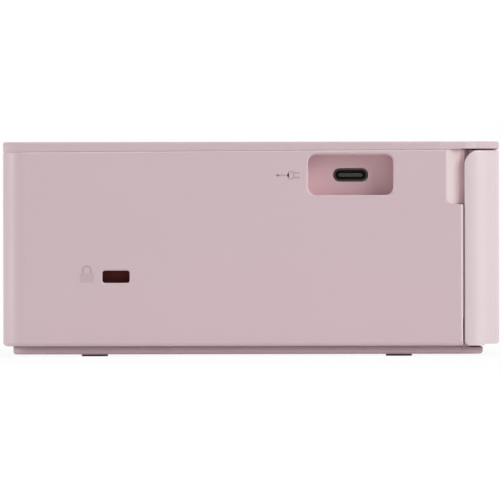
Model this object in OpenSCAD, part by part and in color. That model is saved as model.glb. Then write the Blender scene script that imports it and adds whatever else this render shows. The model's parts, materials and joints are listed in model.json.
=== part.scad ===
// Compact photo printer: a low box with a wrap-round front door over the paper slot,
// a side door over the ribbon cassette, and a display and keys in the top.
// Front is -Y, the side with the cable port is -X, and the origin is on the table under the middle.

/* [Body] */
// Width of the body, side to side
body_w = 182; // [180:1:196]
// Depth of the body, front to back
body_d = 133; // [133:1:145]
// Height of the top face above the table
body_h = 57.5; // [57.5:0.5:66]
// Wall thickness of the housing
wall = 2.4; // [2.2:0.1:2.6]
// Plan radius of the two rear corners
rear_corner = 6.4; // [5.6:0.2:8]
// Plan radius of the two front corners
front_corner = 9.2; // [8.6:0.2:10.4]
// Rounding of the housing's lower edge
edge_r = 1; // [0.6:0.1:1.2]
// Height of the housing's lower edge above the table
body_lift = 2.8; // [2.6:0.1:3.2]

/* [Top cover] */
// Depth of the cover's edge at the back
cover_rear_t = 2.5; // [2.3:0.1:2.7]
// Depth of the cover's edge at the front
cover_front_t = 1.9; // [1.8:0.1:2.2]
// Gap that shows as the seam under the cover
seam = 0.1; // [0.1:0.05:0.3]
// Rounding of the cover's top edge
cover_r = 0.5; // [0.4:0.05:0.8]
// Bevel of the edges along the seam and beside the front door
edge_bevel = 0.35; // [0.2:0.05:0.5]

/* [Base] */
// Thickness of the base floor
base_t = 1.8; // [1.6:0.1:2]
// How far the base stands in from the housing at the sides and back
base_inset = 2.7; // [2.7:0.1:3.2]
// How far the base stands in from the front door's face
base_front_inset = 4.4; // [4.4:0.1:5.2]
// Height of the base's upright rim above its floor
rim_h = 5; // [4:0.5:6]
// Height of the rubber feet below the base
foot_h = 0.6; // [0.5:0.1:0.9]
// Width of a rubber foot, front to back
foot_w = 7; // [6:0.5:8]
// Length of a rubber foot, side to side
foot_l = 13; // [10:0.5:15]
// Diameter of a base screw's head
screw_head_d = 4.4; // [4:0.1:4.8]

/* [Front door] */
// How far the door wraps back along each side
door_wrap = 9.35; // [9:0.05:9.8]
// Thickness of the door
door_t = 2.2; // [2:0.1:2.3]
// Gap round the door
door_gap = 0.45; // [0.4:0.05:0.7]
// Rounding of the wrap's upper rear corner, seen from the side
door_top_r = 4; // [3:0.2:5]
// Radius of the steel hinge pins of both doors
pin_r = 0.75; // [0.6:0.05:0.85]
// Height of the finger notch beside the door
notch_h = 14.9; // [12:0.5:18]
// Width of the finger notch
notch_w = 4.4; // [3.6:0.1:5]
// Depth of the finger notch at the door
notch_depth = 2.5; // [2.2:0.1:3]

/* [Ribbon door] */
// Length of the side door, front to back
ink_door_l = 79.2; // [77:0.2:80]
// Height of the side door's lower edge above the table
ink_door_z = 20; // [19:0.2:20.4]
// Gap round the side door
ink_gap = 0.4; // [0.3:0.05:0.5]

/* [Ports] */
// Distance of the cable port from the rear face
port_from_rear = 93.2; // [90:0.2:96]
// Depth of the cable port's centre below the top face
port_drop = 8.9; // [8.8:0.1:10]
// Width of the pocket round the cable port
pocket_w = 22.8; // [20:0.2:25]
// Height of the pocket
pocket_h = 10.8; // [10:0.2:11.2]
// Depth of the pocket
pocket_depth = 6.5; // [5.5:0.1:7]
// Corner radius of the pocket
pocket_r = 2.1; // [1.6:0.1:3]
// Bevel round the pocket's mouth
pocket_bevel = 0.45; // [0.3:0.05:0.6]
// Distance of the security slot from the rear face
lock_from_rear = 30.3; // [28:0.2:34]
// Height of the security slot above the table
lock_z = 21.4; // [19:0.2:24]
// Length of the security slot
lock_l = 7.3; // [7:0.1:8]
// Height of the security slot
lock_h = 3.3; // [3:0.1:3.5]
// Bevel round the security slot's mouth
lock_bevel = 0.25; // [0.15:0.05:0.35]

/* [Paper path] */
// Height of the paper's path above the base floor
path_h = 22.1; // [22:0.1:23]
// Width of the slot that takes the paper cassette
slot_w = 112; // [108:0.5:114]
// Height of the slot that takes the paper cassette
slot_h = 26.4; // [24:0.2:26.6]
// Height of the rear paper opening
rear_slot_h = 7; // [6:0.2:8]
// Radius of the platen roller's rubber
platen_r = 6; // [5.4:0.1:6.4]
// Radius of the grip roller
grip_r = 3; // [2.6:0.1:3.2]
// Radius of the pinch roller
pinch_r = 2.2; // [2:0.1:2.4]
// Radius of the pickup roller's tyres
pickup_r = 6.5; // [5.8:0.1:6.6]
// Thickness of the steel frame plates
frame_t = 1.2; // [1:0.1:1.4]

/* [Gears] */
// Gear module
gear_m = 0.7; // [0.68:0.01:0.7]
// Face width of the gears
gear_w = 4; // [3:0.2:5]

/* [Ribbon cassette] */
// Outer radius of each spool housing of the cassette
shell_r = 11.5; // [11:0.1:11.6]
// Wall of the spool housings
shell_t = 1.2; // [1:0.1:1.4]
// Distance between the two spools
spool_pitch = 50; // [49.8:0.1:50.4]
// Radius of the full ribbon roll
roll_r = 9; // [7:0.2:9.2]

/* [Display and keys] */
// Width of the display window
window_w = 84; // [80:0.5:86]
// Depth of the display window, front to back
window_d = 60; // [56:0.5:61]
// Thickness of the display window
window_t = 1.2; // [1:0.1:1.3]
// Radius of the small round keys
key_r = 4.5; // [4:0.1:5]
// Radius of the centre key
ok_r = 6.5; // [6:0.1:7]
// Outer radius of the ring of arrow keys
ring_r = 17; // [15.5:0.1:17.5]
// Gap round each key
key_gap = 0.2; // [0.15:0.05:0.3]
// How far the keys stand above the cover
key_proud = 0.7; // [0.6:0.1:0.9]
// Travel of each key
key_travel = 0.4; // [0.3:0.05:0.4]

/* [Hidden] */
$fn = 64;

pink = "#e2cbcf";
pink_dark = "#c9adb3";
steel = "#b9bcc0";
black = "#2a2a2d";
white = "#e8e6e2";

eps = 0.01;
fit = 0.1;            // gap between fixed pieces that seat on each other
run = 0.05;           // radial clearance of a shaft in its bore
press = 0.02;         // radial clearance of a pin that is held

hw = body_w / 2;
hd = body_d / 2;
in_l = -hw + wall;    // inner faces of the side walls
in_r = hw - wall;
in_rear = hd - wall;
floor_z = foot_h + base_t;
seam_rear = body_h - cover_rear_t;
seam_front = body_h - cover_front_t;
house_front = -hd + door_wrap + door_gap;

// Height of the cover's underside at a given place, front to back
function under(y) = seam_front + (seam_rear - seam_front) * (y + hd) / body_d;

// front door hinge: pins close behind the face and low down
door_low = body_lift + 0.5;
door_high = seam_front - 0.4;
door_low_r = 1.3;
door_axis = [-hd + 2.9, body_lift + 2.8];
knuckle_x = hw - 20;      // outer end of each door knuckle
knuckle_l = 6;
knuckle_r = pin_r + 1;
lug_r = pin_r + 0.8;
lug_l = 3;
pin_l = 8;

// side door over the cassette
ink_rear = hd - 13.9;
ink_front = ink_rear - ink_door_l;
ink_barrel_r = 2;
ink_axis = [hw - ink_barrel_r, ink_door_z + ink_barrel_r];
ear_l = 4;

// power inlet, side to side and upwards
jack = [in_l + 17, floor_z + 11];

// cable port and its board
port_y = hd - port_from_rear;
port_z = body_h - port_drop;
pocket_wall = 1.4;
shell_w = 8.9;            // outer width and height of the cable socket's metal shell
shell_h = 3.2;
board_t = 1.6;
board_top = port_z - shell_h / 2;
lock_y = hd - lock_from_rear;
board_x = -hw + pocket_depth + pocket_wall + fit;   // left and front edges of the main board
board_y = house_front + 0.4;

// memory card slot, in the front frame
card_w = 24.4;
card_t = 2.4;

// steel frame
gear_bay = 25.4;
card_bay = 29.4;
frame_l = in_l + gear_bay;             // outer face of the left plate
frame_r = in_r - card_bay;             // outer face of the right plate
lane_l = frame_l + frame_t;            // paper lane between the plates
lane_r = frame_r - frame_t;
lane_mid = (lane_l + lane_r) / 2;
card_x = [frame_r + 1.5, frame_r + 1.5 + card_w];
path_z = floor_z + path_h;
card_z = path_z + 12.4;
card_rear = house_front + 24;
sheet_gap = 0.3;

// rollers and shafts, as front-to-back and height positions
plate_rear = in_rear - 3.1;             // rear edge of the frame plates
head_axis = [plate_rear - 12, path_z + 27.2];
spool_z = path_z + 13.5;
takeup = [head_axis[0] - 11, spool_z];
supply = [takeup[0] - spool_pitch, spool_z];
platen = [takeup[0] - 24, path_z - platen_r];
grip = [supply[0] - 15.5, path_z - grip_r];
pinch = [grip[0], path_z + sheet_gap + pinch_r];
feed = [grip[0] + 19.5, path_z - 11];
pickup_axis = [grip[0] - 2, path_z + 16];
pickup = [pickup_axis[0] - 13.5, path_z + 13];
plate_front = grip[0] - 6.5;            // front edge of the frame plates
sink_d = 16;                            // depth of the heat sink, front to back
head_front = platen[0] - 9.4;           // front face of the heat sink
arm_half = 18;                          // from the middle of the pickup arm to each side of it
ribbon_drive_angle = 8;
journal_r = 2;
steel_pin_r = 1.5;
ties = [[plate_front + 14, path_z - 18], [plate_rear - 5, path_z - 18], [plate_rear - 4, path_z + 20.5]];
tie_end_r = 1.2;
// flanges that carry the plates on the floor, front and rear edges
plate_feet = [[plate_front + 1, plate_front + 14], [plate_rear - 25, plate_rear - 1]];
lever = [frame_r + 5, supply[0] - 14];    // eject lever's pivot, side to side and front to back
lever_z = path_z + 19;

// gear train
grip_teeth = 28;
idler_teeth = 22;
pinion_teeth = 12;
takeup_teeth = 40;
pressure = 25;
addendum = 0.8;
backlash = 0.16;
gear_x = frame_l - 1.2;   // inner face of the gears, beside the left plate
hub_r = 4;

function pitch_r(n) = n * gear_m / 2;
function mesh_distance(a, b) = pitch_r(a) + pitch_r(b);
// Where a gear sits that meshes with two gears at p and q, on the upper side of the line between them
function between(p, q, rp, rq) =
  let (d = norm(q - p), a = (rp * rp - rq * rq + d * d) / (2 * d), h = sqrt(rp * rp - a * a),
       u = (q - p) / d)
  p + a * u + h * [u[1], -u[0]];
idler = between(feed, grip, mesh_distance(pinion_teeth, idler_teeth),
                mesh_distance(idler_teeth, grip_teeth));
ribbon_drive = takeup + mesh_distance(takeup_teeth, pinion_teeth)
               * [cos(ribbon_drive_angle), sin(ribbon_drive_angle)];
function direction(p, q) = atan2(q[1] - p[1], q[0] - p[0]);
// Turn of a gear with n teeth at q, so that it meshes with one of m teeth at p that is turned by t
function mesh_turn(t, m, n, p, q) =
  direction(p, q) + 180 - (0.5 - (direction(p, q) - t) * m / 360) * 360 / n;
idler_turn = mesh_turn(0, grip_teeth, idler_teeth, grip, idler);
feed_turn = mesh_turn(idler_turn, idler_teeth, pinion_teeth, idler, feed);
ribbon_turn = mesh_turn(0, takeup_teeth, pinion_teeth, takeup, ribbon_drive);

// cassette
bay_front = supply[0] - shell_r - 0.6;     // front edge of the cassette's opening in the right plate
cassette_l = lane_l + 4;
cassette_r = in_r - 4.6;
core_r = 4.2;
journal = 3;
spline_r = 3.2;
film_z = path_z + 0.4;
film_t = 0.15;
guide_y = [supply[0] + shell_r + 1.3, takeup[0] - shell_r - 1.3];
guide_r = 1;
guide_z = film_z + film_t + guide_r + fit;

// fan
fan_size = 25;
fan_x = in_r - fan_size / 2 - 3.6;
fan_y = [in_rear - 8.1, in_rear - fit];
fan_z = path_z + 13.5;

// display and keys
key_x = [hw - 64, hw - 37, hw - 11];
key_y = [-hd + 16.5, -hd + 38, -hd + 59.5];
window_x = key_x[0] - key_r - 6.5 - window_w / 2;
window_y = (house_front + 0.2 + head_front + 1.4) / 2;   // midway from the front frame to the print head
window_ledge = 3;
key_board_drop = 7.7;
key_board_z = body_h - key_board_drop;
key_board_t = 0.8;
switch_w = 4.4;
switch_h = 2;
nub_z = key_board_z + key_board_t + switch_h + key_travel + 0.08;
arrow_nub = 12;          // distance of an arrow key's switch from the centre key
key_flange = 0.8;
key_brim = 0.9;          // how far a key's flange reaches under the cover

power_x = [frame_r + 3, in_r - 4];
power_y = [hd - 86.5, hd - 18.5];
power_z = floor_z + 6;

feet_y = [-hd + 26.8, hd - 24.4];
foot_x = hw - 21;
foot_recess = 0.8;
screws = [[-hw + 8, hd - 9], [hw - 8, hd - 9], [-hw + 7, -hd + 16.5], [hw - 7, -hd + 16.5]];
boss_r = 3.2;
boss_h = 8;

// Profiles and blanks

// Prism along X of an outline drawn front to back and upwards
module along_x(x0, x1) {
  translate([x0, 0, 0]) rotate([90, 0, 90]) linear_extrude(x1 - x0) children();
}

// Prism along Y of an outline drawn side to side and upwards
module along_y(y0, y1) {
  translate([0, y1, 0]) rotate([90, 0, 0]) linear_extrude(y1 - y0) children();
}

module rod_x(x0, x1, at, r) {
  translate([x0, at[0], at[1]]) rotate([0, 90, 0]) cylinder(r = r, h = x1 - x0);
}

module rod_y(y0, y1, x, z, r) {
  translate([x, y1, z]) rotate([90, 0, 0]) cylinder(r = r, h = y1 - y0);
}

module box(x, y, z) {
  translate([x[0], y[0], z[0]]) cube([x[1] - x[0], y[1] - y[0], z[1] - z[0]]);
}

// Rectangle with round corners, centred
module rounded(w, h, r) {
  square([w - 2 * r, h], center = true);
  square([w, h - 2 * r], center = true);
  for (x = [-1, 1], y = [-1, 1]) translate([x * (w / 2 - r), y * (h / 2 - r)]) circle(r);
}

// Half section of a slab with a rounded rim, from a corner's axis outwards
module rim_section(r, h, top_r, low_r) {
  k = max(top_r, low_r);
  square([r - k, h]);
  translate([0, low_r]) square([r, h - top_r - low_r]);
  if (top_r > 0)
    translate([r - top_r, h - top_r]) intersection() { circle(top_r); square(top_r); }
  if (top_r > 0 && low_r == 0) translate([r - k, 0]) square([k, h - top_r]);
  if (low_r > 0)
    translate([r - low_r, low_r]) mirror([0, 1]) intersection() { circle(low_r); square(low_r); }
  if (low_r > 0 && top_r == 0) translate([r - k, low_r]) square([k, h - low_r]);
}

// Slab with round corners in plan and a rounded top or bottom rim.
// w is its half width, y0 and y1 its front and rear faces, r0 and r1 its corner radii there
module slab(w, y0, y1, r0, r1, h, top_r = 0, low_r = 0) {
  for (s = [-1, 1]) {
    translate([s * (w - r1), y1 - r1, 0]) rotate([0, 0, s > 0 ? 0 : 90])
      rotate_extrude(angle = 90) rim_section(r1, h, top_r, low_r);
    translate([s * (w - r0), y0 + r0, 0]) rotate([0, 0, s > 0 ? -90 : 180])
      rotate_extrude(angle = 90) rim_section(r0, h, top_r, low_r);
  }
  translate([-(w - r1), y1 - r1, 0]) rotate([90, 0, 90])
    linear_extrude(2 * (w - r1)) rim_section(r1, h, top_r, low_r);
  translate([w - r0, y0 + r0, 0]) rotate([90, 0, -90])
    linear_extrude(2 * (w - r0)) rim_section(r0, h, top_r, low_r);
  for (s = [0, 1]) mirror([s, 0, 0])
    translate([w - r1, y1 - r1, 0]) rotate([90, 0, 0])
      linear_extrude(y1 - r1 - y0 - r0) rim_section(r1, h, top_r, low_r);
  translate([-(w - r1), y0 + r0, 0]) cube([2 * (w - r1), y1 - r1 - y0 - r0, h]);
}

// Body outline, shrunk by an inset, between two heights
module body_slab(inset, z0, z1, top_r = 0, low_r = 0) {
  translate([0, 0, z0])
    slab(hw - inset, -hd + inset, hd - inset, front_corner - inset, rear_corner - inset,
         z1 - z0, top_r, low_r);
}

// Everything above the slanting seam, lowered by a gap
module above_seam(gap) {
  along_x(-hw - 1, hw + 1)
    polygon([[-hd - 1, under(-hd - 1) - gap], [hd + 1, under(hd + 1) - gap],
             [hd + 1, body_h + 1], [-hd - 1, body_h + 1]]);
}

// Casing

module key_holes() {
  for (i = [0, 1, 2]) translate([key_x[0], key_y[i], 0]) cylinder(r = key_r + key_gap, h = body_h + 1);
  for (i = [0, 2]) translate([key_x[2], key_y[i], 0]) cylinder(r = key_r + key_gap, h = body_h + 1);
  translate([key_x[1], key_y[1], 0]) cylinder(r = ring_r + key_gap, h = body_h + 1);
}

module top_cover() {
  post_z = key_board_z + key_board_t + fit;
  color(pink) {
    difference() {
      body_slab(0, seam_rear - 1, body_h, top_r = cover_r);
      difference() {
        box([-hw - 1, hw + 1], [-hd - 1, hd + 1], [0, body_h + 2]);
        above_seam(0);
      }
      translate([window_x, window_y, body_h - window_t]) linear_extrude(window_t + 1)
        rounded(window_w + 2 * key_gap, window_d + 2 * key_gap, 2);
      translate([window_x, window_y, 0]) linear_extrude(body_h)
        rounded(window_w - 2 * window_ledge, window_d - 2 * window_ledge, 1.5);
      key_holes();
    }
    // locating rib inside the housing's walls
    difference() {
      body_slab(wall + fit, seam_rear - 2.4, seam_front + 0.2);
      body_slab(wall + fit + 1.2, 0, body_h);
      box([-hw, hw], [-hd - 1, -hd + 20], [0, body_h]);
      box([-hw, 0], [port_y - pocket_w / 2 - 3, port_y + pocket_w / 2 + 3], [0, body_h]);
      above_seam(-0.05);
    }
    // posts that carry the key board
    for (x = [key_x[0] + 9, key_x[2] - 9], y = [key_y[0] + 0, key_y[2] - 0])
      translate([x, y, post_z]) cylinder(r = 2, h = under(y) - post_z + 0.05);
  }
}

// Wedge-shaped scoop in the side wall beside the front door, on the +X side
module finger_notch() {
  y1 = house_front + notch_w;
  z1 = body_h;
  r = 2.1;
  intersection() {
    linear_extrude(body_h)
      polygon([[hw + eps, y1], [hw + 1, y1], [hw + 1, house_front - 1],
               [hw - notch_depth * (notch_w + 1) / notch_w, house_front - 1]]);
    along_x(hw - notch_depth - 1, hw + 2) {
      translate([house_front - 2, under(house_front) - notch_h + r]) square([notch_w + 2, notch_h + 2]);
      translate([house_front - 2, under(house_front) - notch_h]) square([notch_w + 2 - r, notch_h]);
      translate([y1 - r, under(house_front) - notch_h + r]) circle(r);
    }
  }
}

// Bevel along the housing's edge under the slanting seam, round the sides and the back
module seam_bevel() {
  b = edge_bevel;
  function section(at) = [[at - b - 1, 1], [at + 1, -b - 1], [at + 1, 1]];
  translate([0, -hd, seam_front - seam]) rotate([atan((seam_rear - seam_front) / body_d), 0, 0]) {
    for (s = [0, 1]) mirror([s, 0, 0]) {
      translate([0, body_d - rear_corner, 0]) rotate([90, 0, 0])
        linear_extrude(body_d - rear_corner + 1) polygon(section(hw));
      translate([hw - rear_corner, body_d - rear_corner, 0])
        rotate_extrude(angle = 90) polygon(section(rear_corner));
    }
    translate([-hw + rear_corner, 0, 0]) rotate([90, 0, 90])
      linear_extrude(2 * (hw - rear_corner)) polygon(section(body_d));
  }
}

// Bevel along the housing's upright front edge, on the +X side
module front_edge_bevel() {
  b = edge_bevel;
  linear_extrude(body_h)
    polygon([[hw - b - 1, house_front - 1], [hw + 1, house_front - 1], [hw + 1, house_front + b + 1]]);
}

// Vent slots in the rear wall behind the fan
module rear_vents() {
  for (i = [0:7])
    translate([fan_x + (i - 3.5) * 3, hd - wall / 2, fan_z]) rotate([90, 0, 0])
      linear_extrude(wall + 4, center = true) rounded(1.6, 20, 0.79);
}

// Bevelled mouth of a rounded opening in the -X side wall, centred at y and z
module mouth(y, z, w, h, r, bevel) {
  translate([-hw, y, z]) rotate([90, 0, 90]) mirror([0, 0, 1]) translate([0, 0, -bevel]) {
    for (i = [-1, 1], j = [-1, 1]) translate([i * (w / 2 - r), j * (h / 2 - r), 0])
      cylinder(r1 = r, r2 = r + 2 * bevel, h = 2 * bevel);
    translate([-w / 2 + r, 0, 0]) rotate([90, 0, 90]) linear_extrude(w - 2 * r)
      polygon([[-h / 2, 0], [h / 2, 0], [h / 2 + 2 * bevel, 2 * bevel], [-h / 2 - 2 * bevel, 2 * bevel]]);
    translate([0, h / 2 - r, 0]) rotate([90, 0, 0]) linear_extrude(h - 2 * r)
      polygon([[-w / 2, 0], [w / 2, 0], [w / 2 + 2 * bevel, 2 * bevel], [-w / 2 - 2 * bevel, 2 * bevel]]);
  }
}

module pocket_hole(grow, depth) {
  translate([-hw - 1, port_y, port_z]) rotate([90, 0, 90])
    linear_extrude(depth + 1) rounded(pocket_w + 2 * grow, pocket_h + 2 * grow, pocket_r + grow);
}

module main_housing() {
  color(pink) difference() {
    union() {
      difference() {
        body_slab(0, body_lift, body_h, low_r = edge_r);
        body_slab(wall, 0, body_h + 1);
        box([-hw - 1, hw + 1], [-hd - 1, house_front], [0, body_h + 1]);
      }
      // pocket round the cable port
      box([-hw + wall / 2, -hw + pocket_depth + pocket_wall],
          [port_y - pocket_w / 2 - pocket_wall, port_y + pocket_w / 2 + pocket_wall],
          [port_z - pocket_h / 2 - pocket_wall, body_h]);
      // thicker wall behind the finger notches
      for (s = [0, 1]) mirror([s, 0, 0])
        box([hw - notch_depth - 1.4, hw - wall / 2], [house_front, house_front + notch_w + 2],
            [under(house_front) - notch_h - 2, body_h]);
      // ears that hold the side door's pins
      for (y = [ink_front - ink_gap - ear_l, ink_rear + ink_gap])
        box([hw - 4.6, hw - wall / 2], [y, y + ear_l], [ink_axis[1] - 2.6, ink_axis[1] + 2.6]);
      // bosses for the base screws
      for (p = screws)
        translate([p[0], p[1], floor_z + fit]) cylinder(r = boss_r, h = boss_h);
      for (p = screws)
        box([p[0] > 0 ? p[0] : -hw + wall / 2, p[0] > 0 ? hw - wall / 2 : p[0]],
            [p[1] - 0.8, p[1] + 0.8], [floor_z + rim_h + 2 * fit, floor_z + boss_h]);
    }
    above_seam(seam);
    seam_bevel();
    for (s = [0, 1]) mirror([s, 0, 0]) front_edge_bevel();
    pocket_hole(0, pocket_depth);
    mouth(port_y, port_z, pocket_w, pocket_h, pocket_r, pocket_bevel);
    translate([-hw, port_y, port_z]) rotate([90, 0, 90])
      linear_extrude(2 * pocket_depth) rounded(shell_w + 0.5, shell_h + 0.4, 1.79);
    for (s = [0, 1]) mirror([s, 0, 0]) finger_notch();
    // security slot
    translate([-hw - 1, lock_y, lock_z]) rotate([90, 0, 90])
      linear_extrude(wall + 2) rounded(lock_l, lock_h, 0.7);
    mouth(lock_y, lock_z, lock_l, lock_h, 0.7, lock_bevel);
    // side door opening, and the bores for its pins
    box([hw - wall - 0.5, hw + 1], [ink_front - ink_gap, ink_rear + ink_gap],
        [ink_door_z - ink_gap, body_h + 1]);
    rod_y(ink_front - pin_l / 2 - 0.2, ink_rear + pin_l / 2 + 0.2, ink_axis[0], ink_axis[1], pin_r + press);
    // rear paper opening, vents and power inlet
    along_y(in_rear - 1, hd + 1) translate([lane_mid, path_z + 0.5]) rounded(slot_w - 4, rear_slot_h, 1.5);
    rear_vents();
    rod_y(in_rear - 1, hd + 1, jack[0], jack[1], 4.2);
    for (p = screws) translate([p[0], p[1], 0]) cylinder(r = 1.1, h = floor_z + boss_h - 1);
  }
}

module base_plate() {
  base_rear = hd - base_inset;
  base_front = -hd + base_front_inset;
  color(pink_dark) difference() {
    union() {
      translate([0, 0, foot_h])
        slab(hw - base_inset, base_front, base_rear, front_corner - base_inset, rear_corner - base_inset,
             base_t, low_r = 0.8);
      difference() {
        translate([0, 0, floor_z - 0.5])
          slab(hw - base_inset, base_front, base_rear, front_corner - base_inset, rear_corner - base_inset,
               rim_h + 0.5);
        translate([0, 0, 0])
          slab(hw - base_inset - 1.4, base_front - 1, base_rear - 1.4, front_corner - base_inset,
               rear_corner - base_inset - 1.4, body_h);
        box([-hw, hw], [-hd - 1, house_front + 0.4], [floor_z, body_h]);
        box([jack[0] - 5.4, jack[0] + 5.4], [in_rear - 12, hd], [floor_z, body_h]);
        for (p = screws) translate([p[0], p[1], floor_z]) cylinder(r = boss_r + 0.3, h = boss_h);
        for (s = [-1, 1]) box([s > 0 ? hw - 6 : -hw, s > 0 ? hw : -hw + 6],
          [screws[2][1] - 4, screws[2][1] + 4], [body_lift + 0.3, body_h]);
      }
      // ribs that stiffen the floor under the paper lane
      for (x = [-45, -15, 15, 45])
        box([x - 0.6, x + 0.6], [-hd + 48.5, hd - 14.5], [floor_z - 0.5, floor_z + 1.5]);
      // pegs under the power board
      for (x = [power_x[0] + 3, power_x[1] - 3], y = [power_y[0] + 3, power_y[1] - 3])
        translate([x, y, floor_z - 0.5]) cylinder(r = 2.2, h = power_z - fit - floor_z + 0.5);
    }
    for (x = [-foot_x, foot_x], y = feet_y)
      translate([x, y, 0]) linear_extrude(foot_h + foot_recess)
        rounded(foot_l + 0.2, foot_w + 0.2, foot_w / 2 - 0.1);
    for (p = screws) translate([p[0], p[1], 0]) {
      cylinder(r = screw_head_d / 2 + 0.3, h = foot_h + 1);
      cylinder(r = 1.5, h = body_h);
    }
    // air slots under the gear bay and the fan
    for (x = [in_l + 12, in_r - 14], i = [0:5])
      translate([x, hd - 62.5 + i * 4, 0]) linear_extrude(body_h) rounded(12, 1.6, 0.79);
  }
}

module front_frame() {
  y0 = house_front - 1.8;
  y1 = y0 + 2;
  z1 = under(y1) - seam - fit;
  hole = [[lane_mid - slot_w / 2, lane_mid + slot_w / 2], [floor_z + fit, floor_z + fit + slot_h]];
  color(pink_dark) difference() {
    union() {
      // plate with bevelled ends, which clear the door's corners as it opens
      translate([0, 0, floor_z + fit]) linear_extrude(z1 - floor_z - fit)
        polygon([[in_l + fit, y1], [in_l + fit, y0 + 1.3], [in_l + fit + 1.3, y0],
                 [in_r - fit - 1.3, y0], [in_r - fit, y0 + 1.3], [in_r - fit, y1]]);
      // tunnel that guides the paper cassette
      box([hole[0][0] - 1.6, hole[0][1] + 1.6], [y0, y0 + 8], [floor_z + fit, hole[1][1] + 1.6]);
      // lugs for the front door's pins
      for (s = [0, 1]) mirror([s, 0, 0]) {
        rod_x(knuckle_x + 0.3, knuckle_x + 0.3 + lug_l, door_axis, lug_r);
        box([knuckle_x + 0.3, knuckle_x + 0.3 + lug_l], [door_axis[0], y0 + 0.5],
            [door_axis[1] - 0.3, door_axis[1] + lug_r]);
      }
      // shelf under the front edge of the main board
      for (x = [board_x + 2.4, board_x + 43])
        box([x, x + 10], [y0, y0 + 8], [board_top - board_t - fit - 2, board_top - board_t - fit]);
    }
    box([hole[0][0], hole[0][1]], [-hd, 0], [floor_z - 1, hole[1][1]]);
    // flared mouth of the slot
    along_x(hole[0][0], hole[0][1])
      polygon([[y0 - 1, hole[1][1] + 2], [y0 - 1, 0], [y0 + 5, 0], [y0 + 5, hole[1][1] - 1],
               [y0 + 2.4, hole[1][1]]]);
    rod_x(-hw, hw, door_axis, pin_r + press);
    // notch backing stands in the upper corners
    for (s = [0, 1]) mirror([s, 0, 0])
      box([hw - notch_depth - 1.4 - fit, hw], [house_front - fit, house_front + 9],
          [under(house_front) - notch_h - 2 - fit, body_h]);
    for (p = screws) translate([p[0], p[1], 0]) cylinder(r = boss_r + 0.3, h = floor_z + boss_h + 1);
    // memory card slot
    box([card_x[0] - 0.2, card_x[1] + 0.2], [-hd, 0], [card_z - 0.1, card_z + card_t + 0.1]);
  }
}

// Bevel along the free edge of the door's side flange, round both its corners, on the +X side
module flange_bevel() {
  b = edge_bevel;
  y1 = -hd + door_wrap;
  z0 = body_lift + door_low_r;
  z1 = door_high - door_top_r;
  x = [hw - b, hw + 0.5];
  translate([0, 0, z0]) linear_extrude(z1 - z0)
    polygon([[hw - b - 1, y1 + 1], [hw + 1, y1 + 1], [hw + 1, y1 - b - 1]]);
  difference() {
    box(x, [y1 - door_top_r, y1 + 1], [z1, door_high + 1]);
    rotate([0, 90, 0]) translate([-z1, y1 - door_top_r, x[0]])
      cylinder(r1 = door_top_r, r2 = door_top_r - b - 0.5, h = b + 0.5);
  }
  difference() {
    box(x, [y1 - door_low_r, y1 + 1], [z0 - door_low_r - 1, z0]);
    rotate([0, 90, 0]) translate([-z0, y1 - door_low_r, x[0]])
      cylinder(r1 = door_low_r, r2 = door_low_r - b - 0.5, h = b + 0.5);
  }
}

// Outline of the front door seen from the side, front to back and upwards
module door_outline() {
  y1 = -hd + door_wrap;
  z0 = body_lift;
  low_r = door_low_r;
  toe_r = 0.8;
  difference() {
    translate([-hd - 1, z0]) square([door_wrap + 1, door_high - z0]);
    difference() {
      translate([y1 - door_top_r, door_high - door_top_r]) square(door_top_r + 1);
      translate([y1 - door_top_r, door_high - door_top_r]) circle(door_top_r);
    }
    difference() {
      translate([y1 - low_r, z0 - 1]) square([low_r + 1, low_r + 1]);
      translate([y1 - low_r, z0 + low_r]) circle(low_r);
    }
    translate([-hd - 1, z0 - 1]) square([base_front_inset - 0.4 + 1, door_low - z0 + 1]);
    difference() {
      translate([-hd - 1, door_low - 1]) square(toe_r + 1);
      translate([-hd + toe_r, door_low + toe_r]) circle(toe_r);
    }
  }
}

module front_door() {
  color(pink) difference() {
    union() {
      difference() {
        intersection() {
          body_slab(0, body_lift - 0.5, door_high, top_r = 0.5);
          along_x(-hw - 1, hw + 1) door_outline();
        }
        translate([0, 0, 0])
          slab(hw - door_t, -hd + door_t, hd, front_corner - door_t, 1, body_h);
      }
      // knuckles, and ribs that stiffen the inside
      for (s = [0, 1]) mirror([s, 0, 0]) {
        rod_x(knuckle_x - knuckle_l, knuckle_x, door_axis, knuckle_r);
        box([knuckle_x - knuckle_l, knuckle_x], [-hd + door_t - 0.5, door_axis[0] + 1],
            [door_axis[1], door_axis[1] + 4]);
      }
      for (x = [-48, -16, 16, 48])
        box([x - 0.6, x + 0.6], [-hd + door_t - 0.5, -hd + door_t + 1.4], [door_low + 2, door_high - 4]);
      box([-hw + 12, hw - 12], [-hd + door_t - 0.5, -hd + door_t + 1.4], [door_high - 5, door_high - 4]);
    }
    // bores for the pins, and hollows that clear the lugs and the pins' ends
    for (s = [0, 1]) mirror([s, 0, 0]) {
      rod_x(knuckle_x - pin_l + lug_l - 0.1, knuckle_x + 1, door_axis, pin_r + run);
      rod_x(knuckle_x, knuckle_x + lug_l + 0.8, door_axis, lug_r + 0.3);
      flange_bevel();
    }
  }
}

// Steel pins of both doors, held in the frame's lugs and the housing's ears
module hinge_pins() {
  color(steel) {
    for (s = [0, 1]) mirror([s, 0, 0])
      rod_x(knuckle_x + 0.2 + lug_l - pin_l, knuckle_x + 0.2 + lug_l, door_axis, pin_r);
    for (y = [ink_front, ink_rear]) rod_y(y - pin_l / 2, y + pin_l / 2, ink_axis[0], ink_axis[1], pin_r);
  }
}

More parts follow.
